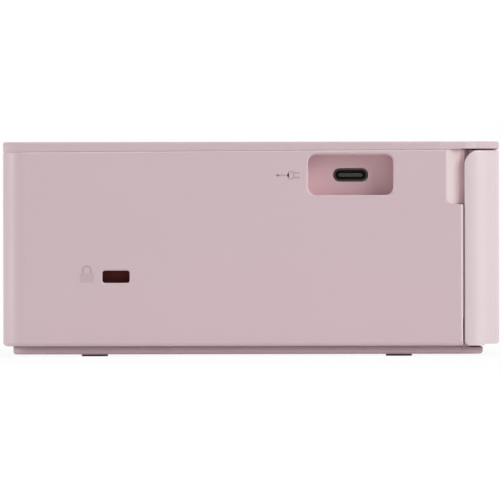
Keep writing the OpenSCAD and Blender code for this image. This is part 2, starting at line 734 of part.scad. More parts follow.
module ink_door() {
  top = under(ink_front) - 0.6;
  x0 = hw - wall;
  mid = (ink_front + ink_rear) / 2;
  color(pink) difference() {
    union() {
      box([x0, hw], [ink_front, ink_rear], [ink_axis[1], top]);
      rod_y(ink_front, ink_rear, ink_axis[0], ink_axis[1], ink_barrel_r);
      // ribs on the inside
      for (y = [ink_front + 8, mid, ink_rear - 8])
        box([x0 - 1.2, x0 + 0.5], [y - 0.6, y + 0.6], [ink_axis[1] + 4, top - 5]);
      box([x0 - 1.2, x0 + 0.5], [ink_front + 4, ink_rear - 4], [top - 6, top - 5]);
    }
    // fingertip scoop in the middle of the top edge
    translate([hw + 9, mid, top + 2]) sphere(r = 11);
    for (y = [ink_front, ink_rear])
      rod_y(y - pin_l / 2 - 0.2, y + pin_l / 2 + 0.2, ink_axis[0], ink_axis[1], pin_r + run);
  }
}

module lock_plate() {
  x = in_l + fit;
  color(steel) difference() {
    union() {
      box([x, x + 1.2], [lock_y - 9, lock_y + 9], [lock_z - 6, lock_z + 6]);
      box([x, x + 5], [lock_y - 9, lock_y - 7.8], [lock_z - 6, lock_z + 6]);
      box([x, x + 5], [lock_y + 7.8, lock_y + 9], [lock_z - 6, lock_z + 6]);
      box([x + 5 - eps, x + 6.2], [lock_y - 9, lock_y + 9], [lock_z - 6, lock_z + 6]);
    }
    translate([x - 1, lock_y, lock_z]) rotate([90, 0, 90]) linear_extrude(4)
      rounded(lock_l + 0.4, lock_h + 0.4, 0.7);
  }
}

module rubber_feet() {
  color(black) for (x = [-foot_x, foot_x], y = feet_y)
    translate([x, y, 0]) linear_extrude(foot_h + foot_recess - 0.05)
      rounded(foot_l, foot_w, foot_w / 2 - 0.1);
}

module base_screws() {
  color(steel) for (p = screws) translate([p[0], p[1], foot_h + 0.2]) difference() {
    union() {
      cylinder(r = screw_head_d / 2, h = 0.8);
      cylinder(r = 1, h = base_t + boss_h - 2);
    }
    for (a = [0, 90]) rotate([0, 0, a]) translate([-1.3, -0.3, -1]) cube([2.6, 0.6, 1.5]);
  }
}

// Display and keys

module display_window() {
  color(black) translate([window_x, window_y, body_h - window_t]) linear_extrude(window_t)
    rounded(window_w, window_d, 2);
}

module display_module() {
  z1 = body_h - window_t - fit;
  z0 = under(window_y - window_d / 2) - fit;
  color(steel) {
    translate([window_x, window_y, z0 - 3.6]) linear_extrude(3.3) rounded(window_w - 4, window_d - 4, 1);
    translate([window_x, window_y, z0 - 0.4]) linear_extrude(z1 - z0 + 0.4)
      rounded(window_w - 2 * window_ledge - 1, window_d - 2 * window_ledge - 1, 1);
  }
}

module key_board() {
  x = [key_x[0] - key_r - 3, key_x[2] + key_r + 1.6];
  y = [key_y[0] - key_r + 1, key_y[2] + key_r + 3];
  z = key_board_z;
  spots = [[key_x[0], key_y[0]], [key_x[0], key_y[1]], [key_x[0], key_y[2]], [key_x[2], key_y[0]],
           [key_x[2], key_y[2]], [key_x[1], key_y[1]],
           for (a = [0:90:270]) [key_x[1] + arrow_nub * cos(a), key_y[1] + arrow_nub * sin(a)]];
  color("darkgreen") {
    box(x, y, [z, z + key_board_t]);
    for (p = spots) {
      translate([p[0] - switch_w / 2, p[1] - switch_w / 2, z + 0.5])
        cube([switch_w, switch_w, key_board_t - 0.5 + switch_h - 0.5]);
      translate([p[0], p[1], z + 0.5]) cylinder(r = 1.1, h = key_board_t - 0.5 + switch_h);
    }
  }
}

// Round key: cap through the cover, a brim under it and a nub over the switch
module round_key(x, y, r) {
  brim_top = under(y) - 0.15;
  color(pink) translate([x, y, 0]) {
    translate([0, 0, brim_top - 0.3]) cylinder(r = r, h = body_h + key_proud - brim_top);
    translate([0, 0, body_h + key_proud - 0.31]) cylinder(r1 = r, r2 = r - 0.3, h = 0.3);
    translate([0, 0, brim_top - key_flange]) cylinder(r = r + key_brim, h = key_flange);
    translate([0, 0, nub_z]) cylinder(r = 1, h = brim_top - nub_z - 0.3);
  }
}

// Quarter of the ring round the centre key
module arrow_key(a) {
  x = key_x[1];
  y = key_y[1];
  r0 = ok_r + key_gap + 0.8;
  brim_top = under(y + ring_r + key_brim) - 0.15;
  module quarter(grow, z0, z1) {
    translate([x, y, z0]) rotate([0, 0, a - 44]) rotate_extrude(angle = 88)
      translate([r0, 0]) square([ring_r - r0 + grow, z1 - z0]);
  }
  color(pink) {
    quarter(0, brim_top - 0.3, body_h + key_proud - 0.1);
    quarter(key_brim, brim_top - key_flange, brim_top);
    translate([x + arrow_nub * cos(a), y + arrow_nub * sin(a), nub_z])
      cylinder(r = 1, h = brim_top - nub_z - 0.3);
  }
}

module power_key() { round_key(key_x[2], key_y[2], key_r); }
module menu_key() { round_key(key_x[0], key_y[2], key_r); }
module edit_key() { round_key(key_x[0], key_y[1], key_r); }
module back_key() { round_key(key_x[0], key_y[0], key_r); }
module print_key() { round_key(key_x[2], key_y[0], key_r); }

// Centre key, whose brim lies below the arrow keys
module ok_key() {
  y = key_y[1];
  brim_top = under(y + ring_r + key_brim) - 0.15 - key_flange - key_travel - 0.15;
  color(pink) translate([key_x[1], y, 0]) {
    translate([0, 0, brim_top - 0.3]) cylinder(r = ok_r, h = body_h + key_proud - brim_top);
    translate([0, 0, body_h + key_proud - 0.31]) cylinder(r1 = ok_r, r2 = ok_r - 0.3, h = 0.3);
    translate([0, 0, brim_top - 0.5]) cylinder(r = ok_r + 1.8, h = 0.5);
    translate([0, 0, nub_z]) cylinder(r = 1, h = brim_top - nub_z);
  }
}
module right_key() { arrow_key(0); }
module up_key() { arrow_key(90); }
module left_key() { arrow_key(180); }
module down_key() { arrow_key(270); }

// Boards and sockets

module main_board() {
  x0 = board_x;
  y0 = board_y;
  z = [board_top - board_t, board_top];
  color("darkgreen") difference() {
    union() {
      box([x0, x0 + 59], [y0, bay_front - 1.5], z);
      box([x0, frame_l - 1], [y0, port_y + pocket_w / 2 + 3.3], z);
      // chips and a connector
      box([x0 + 25, x0 + 39], [y0 + 8.3, y0 + 22.3], [board_top - 0.5, board_top + 1]);
      box([x0 + 45, x0 + 53], [y0 + 10.3, y0 + 16.3], [board_top - 0.5, board_top + 1.2]);
      box([x0 + 9, x0 + 16], [y0 + 6.3, y0 + 10.3], [board_top - 0.5, board_top + 1.6]);
    }
    for (p = [[x0 + 3, y0 + 3], [x0 + 55, y0 + 3]]) translate([p[0], p[1], 0]) cylinder(r = 1.2, h = body_h);
  }
}

// Stadium-shaped prism along the port's axis
module port_prism(x, l, w, h, r) {
  translate([x, port_y, port_z]) rotate([90, 0, 90]) linear_extrude(l) rounded(w, h, r);
}

module usb_socket() {
  x0 = -hw + pocket_depth + fit;
  color(steel) difference() {
    port_prism(x0, 7.3, shell_w, shell_h, shell_h / 2 - 0.01);
    port_prism(x0 - 1, 7.3, shell_w - 0.6, shell_h - 0.6, shell_h / 2 - 0.31);
  }
}

module usb_tongue() {
  color(black) port_prism(-hw + pocket_depth + fit + 0.7, 5.6, shell_w - 2.3, 0.7, 0.34);
}

module card_socket() {
  x = [card_x[0] - 0.7, card_x[1] + 0.7];
  y = [house_front + 0.2 + fit, card_rear];
  color(steel) difference() {
    union() {
      box(x, y, [card_z - 1, card_z + card_t + 0.8]);
      // turned-down edges of the metal shell
      for (e = [x[0], x[1] - 0.5]) box([e, e + 0.5], [y[0], y[1] - 3], [card_z - 2.4, card_z]);
    }
    box(card_x, [y[0] - 1, y[1] - 1], [card_z, card_z + card_t]);
    box([card_x[0] + 6, card_x[1] - 6], [y[0] - 1, y[0] + 7], [card_z, card_z + card_t + 2]);
  }
}

module dc_jack() {
  x = jack[0];
  z = jack[1];
  color(black) difference() {
    union() {
      box([x - 5, x + 5], [in_rear - 11, in_rear - 0.2], [floor_z + fit, z + 5]);
      rod_y(in_rear - 1, hd - 0.8, x, z, 4);
    }
    difference() {
      rod_y(in_rear - 8, hd + 1, x, z, 3.1);
      rod_y(in_rear - 9, hd - 1.5, x, z, 0.9);
    }
  }
}

module power_board() {
  z = [power_z, power_z + board_t];
  color("darkgreen") {
    box(power_x, power_y, z);
    // coil, capacitors and a heat-spreading bar
    for (i = [1:3]) translate([power_x[0] + 6, power_y[0] + i * 12, z[1] - 0.2]) cylinder(r = 4, h = 8);
    box([power_x[1] - 9, power_x[1] - 3], [power_y[0] + 8, power_y[0] + 32], [z[1] - 0.2, z[1] + 6]);
    box([power_x[0] + 3, power_x[0] + 15], [power_y[1] - 22, power_y[1] - 10], [z[1] - 0.2, z[1] + 7]);
    box([power_x[1] - 5, power_x[1] - 1], [power_y[1] - 18, power_y[1] - 6], [z[1] - 0.2, z[1] + 4]);
  }
}

// Steel frame

// Profile of a frame plate, front to back and upwards
module plate_outline() {
  z0 = floor_z + fit;
  step = platen[0] - 7;
  polygon([[plate_front, z0], [plate_rear, z0], [plate_rear, path_z + 27], [plate_rear - 7, path_z + 29.2],
           [step, path_z + 29.2], [step, path_z + 25], [bay_front, path_z + 25],
           [bay_front, path_z + 18.8], [plate_front, path_z + 18.8]]);
}

// Round holes that the cables pass through, low in both plates
module cable_holes() {
  translate([platen[0] + 6, path_z - 14]) circle(5);
  translate([takeup[0] + 7, path_z - 12]) circle(6);
}

module plate_bores() {
  translate(grip) circle(journal_r + run);
  translate(pinch) circle(steel_pin_r + run);
  translate(platen) circle(journal_r + run);
  for (p = [pickup_axis, head_axis]) translate(p) circle(steel_pin_r + press);
  for (p = ties) translate(p) circle(tie_end_r + press);
}

module left_frame() {
  z0 = floor_z + fit;
  color(steel) {
    along_x(frame_l, lane_l) difference() {
      plate_outline();
      plate_bores();
      translate(feed) circle(2.5);
      for (p = [supply, takeup]) translate(p) circle(hub_r + run);
      cable_holes();
    }
    for (y = plate_feet) box([lane_l - 0.2, lane_l + 8], y, [z0, z0 + frame_t]);
    rod_x(frame_l - 1.1 - gear_w - 0.6, frame_l + 0.2, idler, journal_r);
  }
}

module right_frame() {
  z0 = floor_z + fit;
  color(steel) {
    along_x(lane_r, frame_r) difference() {
      plate_outline();
      plate_bores();
      // opening for the ribbon cassette, open to the top at the front
      translate([bay_front, path_z + 0.2])
        square([spool_pitch + 2 * shell_r + 1.2, spool_z + shell_r + 0.6 - path_z - 0.2]);
      translate([bay_front - 1, path_z + 19]) square([platen[0] - 7 - bay_front + 1, 30]);
      cable_holes();
      translate(feed) circle(6);
    }
    for (y = plate_feet) box([lane_r - 8, lane_r + 0.2], y, [z0, z0 + frame_t]);
    // shelf and stud that carry the eject lever
    box([lane_r, lever[0] + 4], [plate_front, supply[0] - shell_r + 0.3],
        [lever_z - 0.2 - frame_t, lever_z - 0.2]);
    translate([lever[0], lever[1], lever_z - 0.4]) cylinder(r = steel_pin_r, h = 3.8);
    // shelf under the memory card socket
    box([lane_r, card_x[1] - 4], [min(card_rear - 1.3, plate_front), plate_front + 1],
        [card_z - 6, card_z - 1 - fit]);
  }
}

module tie_rods() {
  color(steel) for (p = ties) {
    rod_x(lane_l + press, lane_r - press, p, 2);
    rod_x(frame_l - 0.6, frame_r + 0.6, p, tie_end_r);
    rod_x(frame_l - 0.6, frame_l - press, p, 2.2);
    rod_x(frame_r + press, frame_r + 0.6, p, 2.2);
  }
}

// Fixed rods that the pickup arm and the print head swing on
module pivot_rods() {
  color(steel) for (p = [pickup_axis, head_axis]) rod_x(frame_l - 0.8, frame_r + 0.8, p, steel_pin_r);
}

module paper_guide() {
  top = path_z - 0.4;
  color(black) difference() {
    union() {
      box([lane_l + fit, lane_r - fit], [grip[0] + grip_r + 1, plate_rear - 1], [top - 1.2, top]);
      for (x = [-40, -20, 0, 20, 40])
        box([lane_mid + x - 0.6, lane_mid + x + 0.6], [platen[0] + platen_r + 2, plate_rear - 1],
            [top - 3.4, top - 1]);
    }
    box([lane_l + 6, lane_r - 6], [platen[0] - platen_r - 1, platen[0] + platen_r + 1], [0, body_h]);
  }
}

// Rollers

module platen_roller() {
  color(black) difference() {
    rod_x(lane_l + 7, lane_r - 7, platen, platen_r);
    rod_x(lane_l, lane_r, platen, 3);
  }
}

module platen_shaft() {
  color(steel) {
    rod_x(lane_l + 2, lane_r - 2, platen, 3);
    rod_x(frame_l - 1, frame_r + 1, platen, journal_r);
  }
}

module grip_roller() {
  color(steel) {
    rod_x(lane_l + 0.4, lane_r - 0.4, grip, grip_r);
    rod_x(gear_x - gear_w - 0.4, frame_r + 1, grip, journal_r);
  }
}

module pinch_roller() {
  color(steel) {
    for (x = [-36, 0, 36]) rod_x(lane_mid + x - 9, lane_mid + x + 9, pinch, pinch_r);
    rod_x(frame_l - 0.8, frame_r + 0.8, pinch, steel_pin_r);
  }
}

module pickup_arm() {
  color(white) difference() {
    union() {
      for (x = [lane_mid - arm_half, lane_mid + arm_half]) {
        along_x(x - 1, x + 1) {
          translate(pickup_axis) circle(3.6);
          translate(pickup) circle(3);
          polygon([pickup_axis + [0, 3.4], pickup + [0, 2.8], pickup + [0, -2.8], pickup_axis + [0, -3.4]]);
        }
      }
      rod_x(lane_mid - arm_half, lane_mid + arm_half, pickup_axis, 3.2);
    }
    for (p = [pickup_axis, pickup]) rod_x(lane_mid - 30, lane_mid + 30, p, steel_pin_r + run);
  }
}

module pickup_roller() {
  color(black) {
    for (x = [lane_mid - 15.8, lane_mid + 4.8]) rod_x(x, x + 11, pickup, pickup_r);
    rod_x(lane_mid - arm_half - 2, lane_mid + arm_half + 2, pickup, steel_pin_r);
  }
}

// Print head

module head_bridge() {
  y0 = head_front + 1.4;
  z0 = head_axis[1] - 1;
  color(steel) difference() {
    union() {
      box([lane_l + 5, lane_r - 5], [y0, head_axis[0] - 1], [z0, z0 + 1.4]);
      for (x = [lane_l + 5, lane_r - 13]) rod_x(x, x + 8, head_axis, 2.6);
      for (x = [lane_l + 5, lane_r - 7]) box([x, x + 2], [y0, y0 + 18], [z0 - 3, z0 + 0.5]);
    }
    rod_x(frame_l, frame_r, head_axis, steel_pin_r + run);
    for (x = [-40, -20, 0, 20, 40]) translate([lane_mid + x, takeup[0] - 2, z0 - 1]) cylinder(r = 5, h = 4);
    box([lane_l + 14, lane_r - 14], [head_axis[0] - 3.6, head_axis[0] + 3], [z0 - 2, z0 + 3]);
  }
}

module head_sink() {
  z1 = head_axis[1] - 1 - fit;
  z0 = path_z + 4;
  color("silver") difference() {
    box([lane_l + 8, lane_r - 8], [head_front, head_front + sink_d], [z0, z1]);
    for (i = [0:4])
      box([lane_l, lane_r], [head_front + 1.8 + i * 2.8, head_front + 3.2 + i * 2.8], [z0 + 6, z1 - 2]);
  }
}

// Ceramic strip with the heater bead along its underside
module head_bar() {
  z = [path_z + 3.2, path_z + 4 - press];
  color(white) {
    box([lane_l + 8, lane_r - 8], [head_front + 4, head_front + 12], z);
    rod_x(lane_l + 10, lane_r - 10, [head_front + 8, z[0] + 0.1], 0.6);
  }
}

// Motors and gears

function involute(r, rb) = r <= rb ? 0 : sqrt(r * r / (rb * rb) - 1) * 180 / PI - acos(rb / r);

// Half angle of a tooth of an n-toothed gear at radius r
function tooth_half(n, r) =
  let (rp = pitch_r(n), rb = rp * cos(pressure))
  90 / n - backlash / rp * 90 / PI + involute(rp, rb) - involute(max(r, rb), rb);

// Outline of a spur gear with involute teeth, the first tooth on the first axis
module gear_outline(n) {
  rp = pitch_r(n);
  root = rp - 1.1 * gear_m;
  tip = rp + addendum * gear_m;
  radii = [root, max(root, rp * cos(pressure)), (rp + root) / 2 + 0.2, rp, (rp + tip) / 2, tip];
  flank = [for (i = [0:5]) if (i == 0 || radii[i] > radii[i - 1] + 0.02) radii[i]];
  count = len(flank);
  polygon([for (t = [0:n - 1], i = [0:2 * count - 1])
    let (k = i < count ? i : 2 * count - 1 - i, s = i < count ? -1 : 1,
         a = t * 360 / n + s * tooth_half(n, flank[k]))
    flank[k] * [cos(a), sin(a)]]);
}

// Gear beside the left plate, turned about its own axis
module gear_at(n, at, turn, bore, width = gear_w) {
  along_x(gear_x - width, gear_x) translate(at) rotate(turn) difference() {
    gear_outline(n);
    circle(bore);
  }
}

module feed_motor() {
  color(steel) {
    rod_x(lane_l + 0.05, lane_l + 18, feed, 9);
    rod_x(lane_l + 17, lane_l + 19, feed, 4);
    rod_x(frame_l - 0.2, lane_l + 1, feed, 2.3);
    rod_x(gear_x - gear_w, frame_l, feed, 1);
  }
}

module feed_pinion() {
  color(white) gear_at(pinion_teeth, feed, feed_turn, 1 + run);
}

module idler_gear() {
  color(white) gear_at(idler_teeth, idler, idler_turn, journal_r + run);
}

module grip_gear() {
  color(white) gear_at(grip_teeth, grip, 0, journal_r + 0.01);
}

// Hub that turns in the left plate and drives a spool by three splines
module spool_hub(at) {
  rod_x(gear_x - 0.5, cassette_l - 3.6, at, hub_r);
  for (a = [0, 120, 240])
    along_x(cassette_l - 4, cassette_l + 1.4) translate(at) rotate(a)
      translate([0, -0.6]) square([spline_r, 1.2]);
}

module takeup_gear() {
  color(white) {
    gear_at(takeup_teeth, takeup, 0, 2);
    rod_x(gear_x - gear_w + 1, gear_x, takeup, 3);
    spool_hub(takeup);
  }
}

// Hub with a felt brake disc that keeps the supply side taut
module supply_hub() {
  color(white) {
    rod_x(gear_x - gear_w - 2.4, gear_x - gear_w - 1.2, supply, 7);
    rod_x(gear_x - gear_w - 1.3, gear_x, supply, 2.8);
    spool_hub(supply);
  }
}

module motor_bracket() {
  x1 = gear_x - gear_w - 1;
  color(steel) {
    along_x(x1 - 1, x1) difference() {
      translate(ribbon_drive + [0, 1]) rounded(11, 24, 3);
      translate(ribbon_drive) circle(3.4);
    }
    for (z = [-8, 11]) rod_x(x1 - 0.2, frame_l, ribbon_drive + [0, z], 1.6);
  }
}

module ribbon_motor() {
  x1 = gear_x - gear_w - 2.05;
  color(steel) {
    rod_x(x1 - 14, x1, ribbon_drive, 6.5);
    rod_x(x1 - 15.5, x1 - 13, ribbon_drive, 2.5);
    rod_x(x1 - 1, x1 + 1.2, ribbon_drive, 3);
    rod_x(x1, gear_x - 0.2, ribbon_drive, 0.9);
  }
}

module ribbon_pinion() {
  color(white) gear_at(pinion_teeth, ribbon_drive, ribbon_turn, 0.9 + run, gear_w - 0.6);
}

// Ribbon cassette

// Two open housings for the spools, joined by an end wall and by guide rods
module cassette_frame() {
  inner = shell_r - shell_t;
  arm_z = film_z + film_t + 0.2;
  end = [cassette_l, cassette_l + 2.4];
  slot = [spool_z - shell_r - 1, spool_z - 5.4];
  color(white) difference() {
    union() {
      for (p = [supply, takeup]) rod_x(cassette_l, cassette_r, p, shell_r);
      // end wall with its grip rib
      along_x(cassette_r - 2, cassette_r)
        translate([supply[0], spool_z - shell_r]) square([spool_pitch, 2 * shell_r]);
      along_x(cassette_r - 0.5, cassette_r + 2)
        translate([(supply[0] + takeup[0]) / 2, spool_z]) rounded(30, 5, 2);
      // low arm that joins the two housings at the far end
      box(end, [supply[0], takeup[0]], [arm_z, arm_z + 1.7]);
      for (p = [supply, takeup]) box(end, [p[0] - 4, p[0] + 4], [arm_z, spool_z - 8]);
      for (y = guide_y) rod_x(cassette_l + 1, cassette_r - 1, [y, guide_z], guide_r);
    }
    for (p = [supply, takeup]) {
      rod_x(cassette_l + 1.6, cassette_r - 2, p, inner);
      rod_x(cassette_l - 1, cassette_l + 3, p, core_r + 0.08);
      rod_x(cassette_r - 3, cassette_r - 1, p, journal + 0.08);
    }
    // slots where the film leaves one housing and enters the other
    box([cassette_l + 5, lane_r - 3], [supply[0] + 3, supply[0] + shell_r + 0.1], slot);
    box([cassette_l + 5, lane_r - 3], [takeup[0] - shell_r - 0.1, takeup[0] - 3], slot);
  }
}

// Core with two flanges, a splined socket at one end and a journal at the other
module spool(at) {
  difference() {
    union() {
      rod_x(cassette_l + 0.2, lane_r - 4, at, core_r);
      rod_x(lane_r - 4.5, cassette_r - 1.2, at, journal);
      for (x = [cassette_l + 2.2, lane_r - 4]) rod_x(x, x + 1.4, at, shell_r - shell_t - 0.5);
    }
    rod_x(cassette_l, cassette_l + 2, at, spline_r + 0.2);
  }
}

module supply_spool() { color(black) spool(supply); }
module takeup_spool() { color(black) spool(takeup); }

module supply_roll() {
  color("#3b2f52") difference() {
    rod_x(cassette_l + 4, lane_r - 4.4, supply, roll_r);
    rod_x(cassette_l, lane_r, supply, core_r + press);
  }
}

// Film from the supply roll, under both guide rods, to the take-up core
module ribbon_film() {
  t = film_t;
  path = [[supply[0] + 8.2, spool_z - 5], [guide_y[0] - 1.2, film_z],
          [guide_y[1] + 1.2, film_z], [takeup[0] - 4.6, spool_z - 1]];
  offset_of = [[t, 0], [0, t], [0, t], [-t, 0]];
  color("#3b2f52") along_x(cassette_l + 7, lane_r - 6)
    polygon(concat(path, [for (i = [3:-1:0]) path[i] + offset_of[i]]));
}

// Lever whose hook holds the cassette in; its end is pushed to the front to free the cassette
module eject_lever() {
  z = [lever_z, lever_z + 3];
  hook = [cassette_r + 0.4, cassette_r + 2.4];
  color("#7f8fb0") difference() {
    union() {
      translate([lever[0], lever[1], z[0]]) cylinder(r = 3.2, h = 3);
      box([lever[0], hook[1]], [lever[1] - 1.6, lever[1] + 1.6], z);
      box(hook, [lever[1] - 1.6, lever[1] + 5.6], z);
      box(hook, [lever[1] - 4.6, lever[1] + 1.6], [z[0] - 3, z[1]]);
    }
    translate([lever[0], lever[1], 0]) cylinder(r = steel_pin_r + run, h = body_h);
  }
}

// Fan

module fan_frame() {
  color(black) {
    difference() {
      along_y(fan_y[0], fan_y[1]) translate([fan_x, fan_z]) rounded(fan_size, fan_size, 2);
      rod_y(fan_y[0] - 1, fan_y[1] + 1, fan_x, fan_z, 11.6);
      for (x = [-10.3, 10.3], z = [-10.3, 10.3])
        rod_y(fan_y[0] - 1, fan_y[1] + 1, fan_x + x, fan_z + z, 1);
    }
    rod_y(fan_y[1] - 1, fan_y[1], fan_x, fan_z, 5);
    for (a = [45, 165, 285]) along_y(fan_y[1] - 1, fan_y[1])
      translate([fan_x, fan_z]) rotate(a) translate([4, -0.7]) square([8, 1.4]);
    rod_y(fan_y[0] + 2, fan_y[1] - 0.5, fan_x, fan_z, 0.8);
  }
}

module fan_rotor() {
  y = [fan_y[0] + 0.6, fan_y[1] - 1.4];
  color(black) difference() {
    union() {
      rod_y(y[0], y[1], fan_x, fan_z, 4.8);
      for (i = [0:6]) translate([fan_x, (y[0] + y[1]) / 2, fan_z]) rotate([0, i * 360 / 7, 0])
        intersection() {
          translate([7.4, 0, 0]) rotate([38, 0, 0]) cube([7, 9, 0.8], center = true);
          translate([0, (y[1] - y[0]) / 2, 0]) rotate([90, 0, 0]) cylinder(r = 11, h = y[1] - y[0]);
        }
    }
    rod_y(y[0] + 1, y[1] + 1, fan_x, fan_z, 0.8 + run);
  }
}

top_cover();
main_housing();
base_plate();
front_frame();
front_door();
ink_door();
hinge_pins();
lock_plate();
rubber_feet();
base_screws();
display_window();
display_module();
key_board();
power_key();
menu_key();
edit_key();
back_key();
print_key();
ok_key();
up_key();
down_key();
left_key();
right_key();
main_board();
power_board();
usb_socket();
usb_tongue();
card_socket();
dc_jack();
left_frame();
right_frame();
tie_rods();
pivot_rods();
paper_guide();
platen_roller();
platen_shaft();
grip_roller();
grip_gear();
pinch_roller();
pickup_arm();
pickup_roller();
head_bridge();
head_sink();
head_bar();
feed_motor();
feed_pinion();
idler_gear();
ribbon_motor();
motor_bracket();
ribbon_pinion();
takeup_gear();
cassette_frame();
supply_hub();
supply_spool();
supply_roll();
takeup_spool();
ribbon_film();
eject_lever();
fan_frame();
fan_rotor();
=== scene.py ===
import json
import math

import bmesh
import bpy
from mathutils import Matrix, Vector


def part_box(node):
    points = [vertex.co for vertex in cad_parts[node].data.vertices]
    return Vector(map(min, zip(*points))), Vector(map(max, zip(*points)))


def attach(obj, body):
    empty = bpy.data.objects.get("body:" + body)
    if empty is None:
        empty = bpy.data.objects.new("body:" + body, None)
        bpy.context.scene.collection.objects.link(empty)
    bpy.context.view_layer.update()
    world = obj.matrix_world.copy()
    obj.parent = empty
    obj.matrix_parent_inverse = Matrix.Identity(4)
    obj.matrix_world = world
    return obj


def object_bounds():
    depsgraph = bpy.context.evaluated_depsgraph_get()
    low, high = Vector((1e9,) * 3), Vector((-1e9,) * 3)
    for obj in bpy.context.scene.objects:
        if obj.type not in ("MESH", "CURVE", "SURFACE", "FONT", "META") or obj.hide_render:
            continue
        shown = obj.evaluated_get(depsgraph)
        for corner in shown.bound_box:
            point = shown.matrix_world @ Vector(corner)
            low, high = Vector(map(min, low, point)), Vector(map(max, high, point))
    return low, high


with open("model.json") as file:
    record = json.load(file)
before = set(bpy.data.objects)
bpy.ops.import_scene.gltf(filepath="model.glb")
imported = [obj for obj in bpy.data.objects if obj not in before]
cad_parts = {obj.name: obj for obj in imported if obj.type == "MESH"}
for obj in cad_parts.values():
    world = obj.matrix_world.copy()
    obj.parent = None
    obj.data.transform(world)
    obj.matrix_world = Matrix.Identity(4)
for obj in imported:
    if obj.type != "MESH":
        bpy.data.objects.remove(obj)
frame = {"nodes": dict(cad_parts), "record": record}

bl_info = {
    "name": "Compact Photo Printer Dressing",
    "version": (1, 0, 0),
    "blender": (4, 5, 0),
    "location": "View3D > Sidebar > Photo Printer",
    "description": "Finishes, symbols, small trim and a studio stage for a compact photo printer",
    "category": "Object",
}

MM = 0.001
FAR = 1.0  # beyond every piece
SMOOTH_ANGLE = math.radians(35)  # edges sharper than this stay sharp
SINK = 0.01 * MM  # how deep a symbol reaches into its surface
CAD_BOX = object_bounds()
NODES = frame["nodes"]
SLOT_OF = {part["node"]: part["material_slot"] for part in frame["record"]["subparts"]}
FINISH = {}  # finished materials by name


# Settings that a user would change

class FinishSettings(bpy.types.PropertyGroup):
    shell_colour: bpy.props.FloatVectorProperty(
        name="Shell colour", description="Pale pink of the outer mouldings",
        subtype="COLOR", size=3, min=0, max=1, default=(0.640, 0.492, 0.526))
    # painted highlight: the door's pink is paler than the shell's, to stand in for the sheen on its
    # curved corners
    door_colour: bpy.props.FloatVectorProperty(
        name="Door colour", description="Slightly paler pink of the front door",
        subtype="COLOR", size=3, min=0, max=1, default=(0.690, 0.565, 0.590))
    # painted shade: the base's pink is the shell's made darker and redder, for the shade and pink bounce
    # light under the housing; the front frame shares it
    base_colour: bpy.props.FloatVectorProperty(
        name="Base colour", description="Pink of the base and the front frame",
        subtype="COLOR", size=3, min=0, max=1, default=(0.598, 0.430, 0.454))
    mark_colour: bpy.props.FloatVectorProperty(
        name="Mark colour", description="Tone of the symbols on the shell",
        subtype="COLOR", size=3, min=0, max=1, default=(0.480, 0.380, 0.415))
    grain_depth: bpy.props.FloatProperty(
        name="Grain depth", description="Depth of the moulded grain", unit="LENGTH",
        default=0.012 * MM, min=0, precision=6)


class SymbolSettings(bpy.types.PropertyGroup):
    print_depth: bpy.props.FloatProperty(
        name="Print depth", description="Thickness of the symbols on the surface", unit="LENGTH",
        default=0.03 * MM, min=0.01 * MM, precision=6)
    line: bpy.props.FloatProperty(
        name="Line width", description="Width of the lines of the symbols", unit="LENGTH",
        default=0.45 * MM, precision=6)
    plug_place: bpy.props.FloatVectorProperty(
        name="Plug place", description="Middle of the plug symbol, front to back and upwards",
        subtype="TRANSLATION", size=2, unit="LENGTH", default=(-9.9 * MM, 48.5 * MM))
    padlock_place: bpy.props.FloatVectorProperty(
        name="Padlock place", description="Middle of the padlock's body, front to back and upwards",
        subtype="TRANSLATION", size=2, unit="LENGTH", default=(44.0 * MM, 21.1 * MM))


class PortSettings(bpy.types.PropertyGroup):
    contacts: bpy.props.IntProperty(
        name="Contacts", description="Contacts on each side of the cable port's tongue",
        default=12, min=4, max=12)
    contact_pitch: bpy.props.FloatProperty(
        name="Contact pitch", description="Distance between contacts", unit="LENGTH",
        default=0.5 * MM, precision=6)


class BoardSettings(bpy.types.PropertyGroup):
    pin_pitch: bpy.props.FloatProperty(
        name="Pin pitch", description="Distance between the pins of the chips", unit="LENGTH",
        default=0.8 * MM, precision=6)
    pin_width: bpy.props.FloatProperty(
        name="Pin width", description="Width of one pin", unit="LENGTH",
        default=0.36 * MM, precision=6)


class TrimSettings(bpy.types.PropertyGroup):
    ridge_height: bpy.props.FloatProperty(
        name="Ridge height", description="Height of the grip ridges on the ribbon cassette",
        unit="LENGTH", default=0.35 * MM, precision=6)
    seam_height: bpy.props.FloatProperty(
        name="Seam height", description="Height of the seam under the cover, halfway to the back",
        unit="LENGTH", default=55.25 * MM, precision=6)
    seam_rise: bpy.props.FloatProperty(
        name="Seam rise", description="How much higher the seam is at the front",
        unit="LENGTH", default=0.6 * MM, precision=6)
    lip_reach: bpy.props.FloatProperty(
        name="Lip reach", description="How far the lips stand forward",
        unit="LENGTH", default=2.4 * MM, precision=6)
    clip_width: bpy.props.FloatProperty(
        name="Clip width", description="Width of the retaining clips round their shafts",
        unit="LENGTH", default=0.9 * MM, precision=6)
    clip_thickness: bpy.props.FloatProperty(
        name="Clip thickness", description="Thickness of the retaining clips",
        unit="LENGTH", default=0.4 * MM, precision=6)


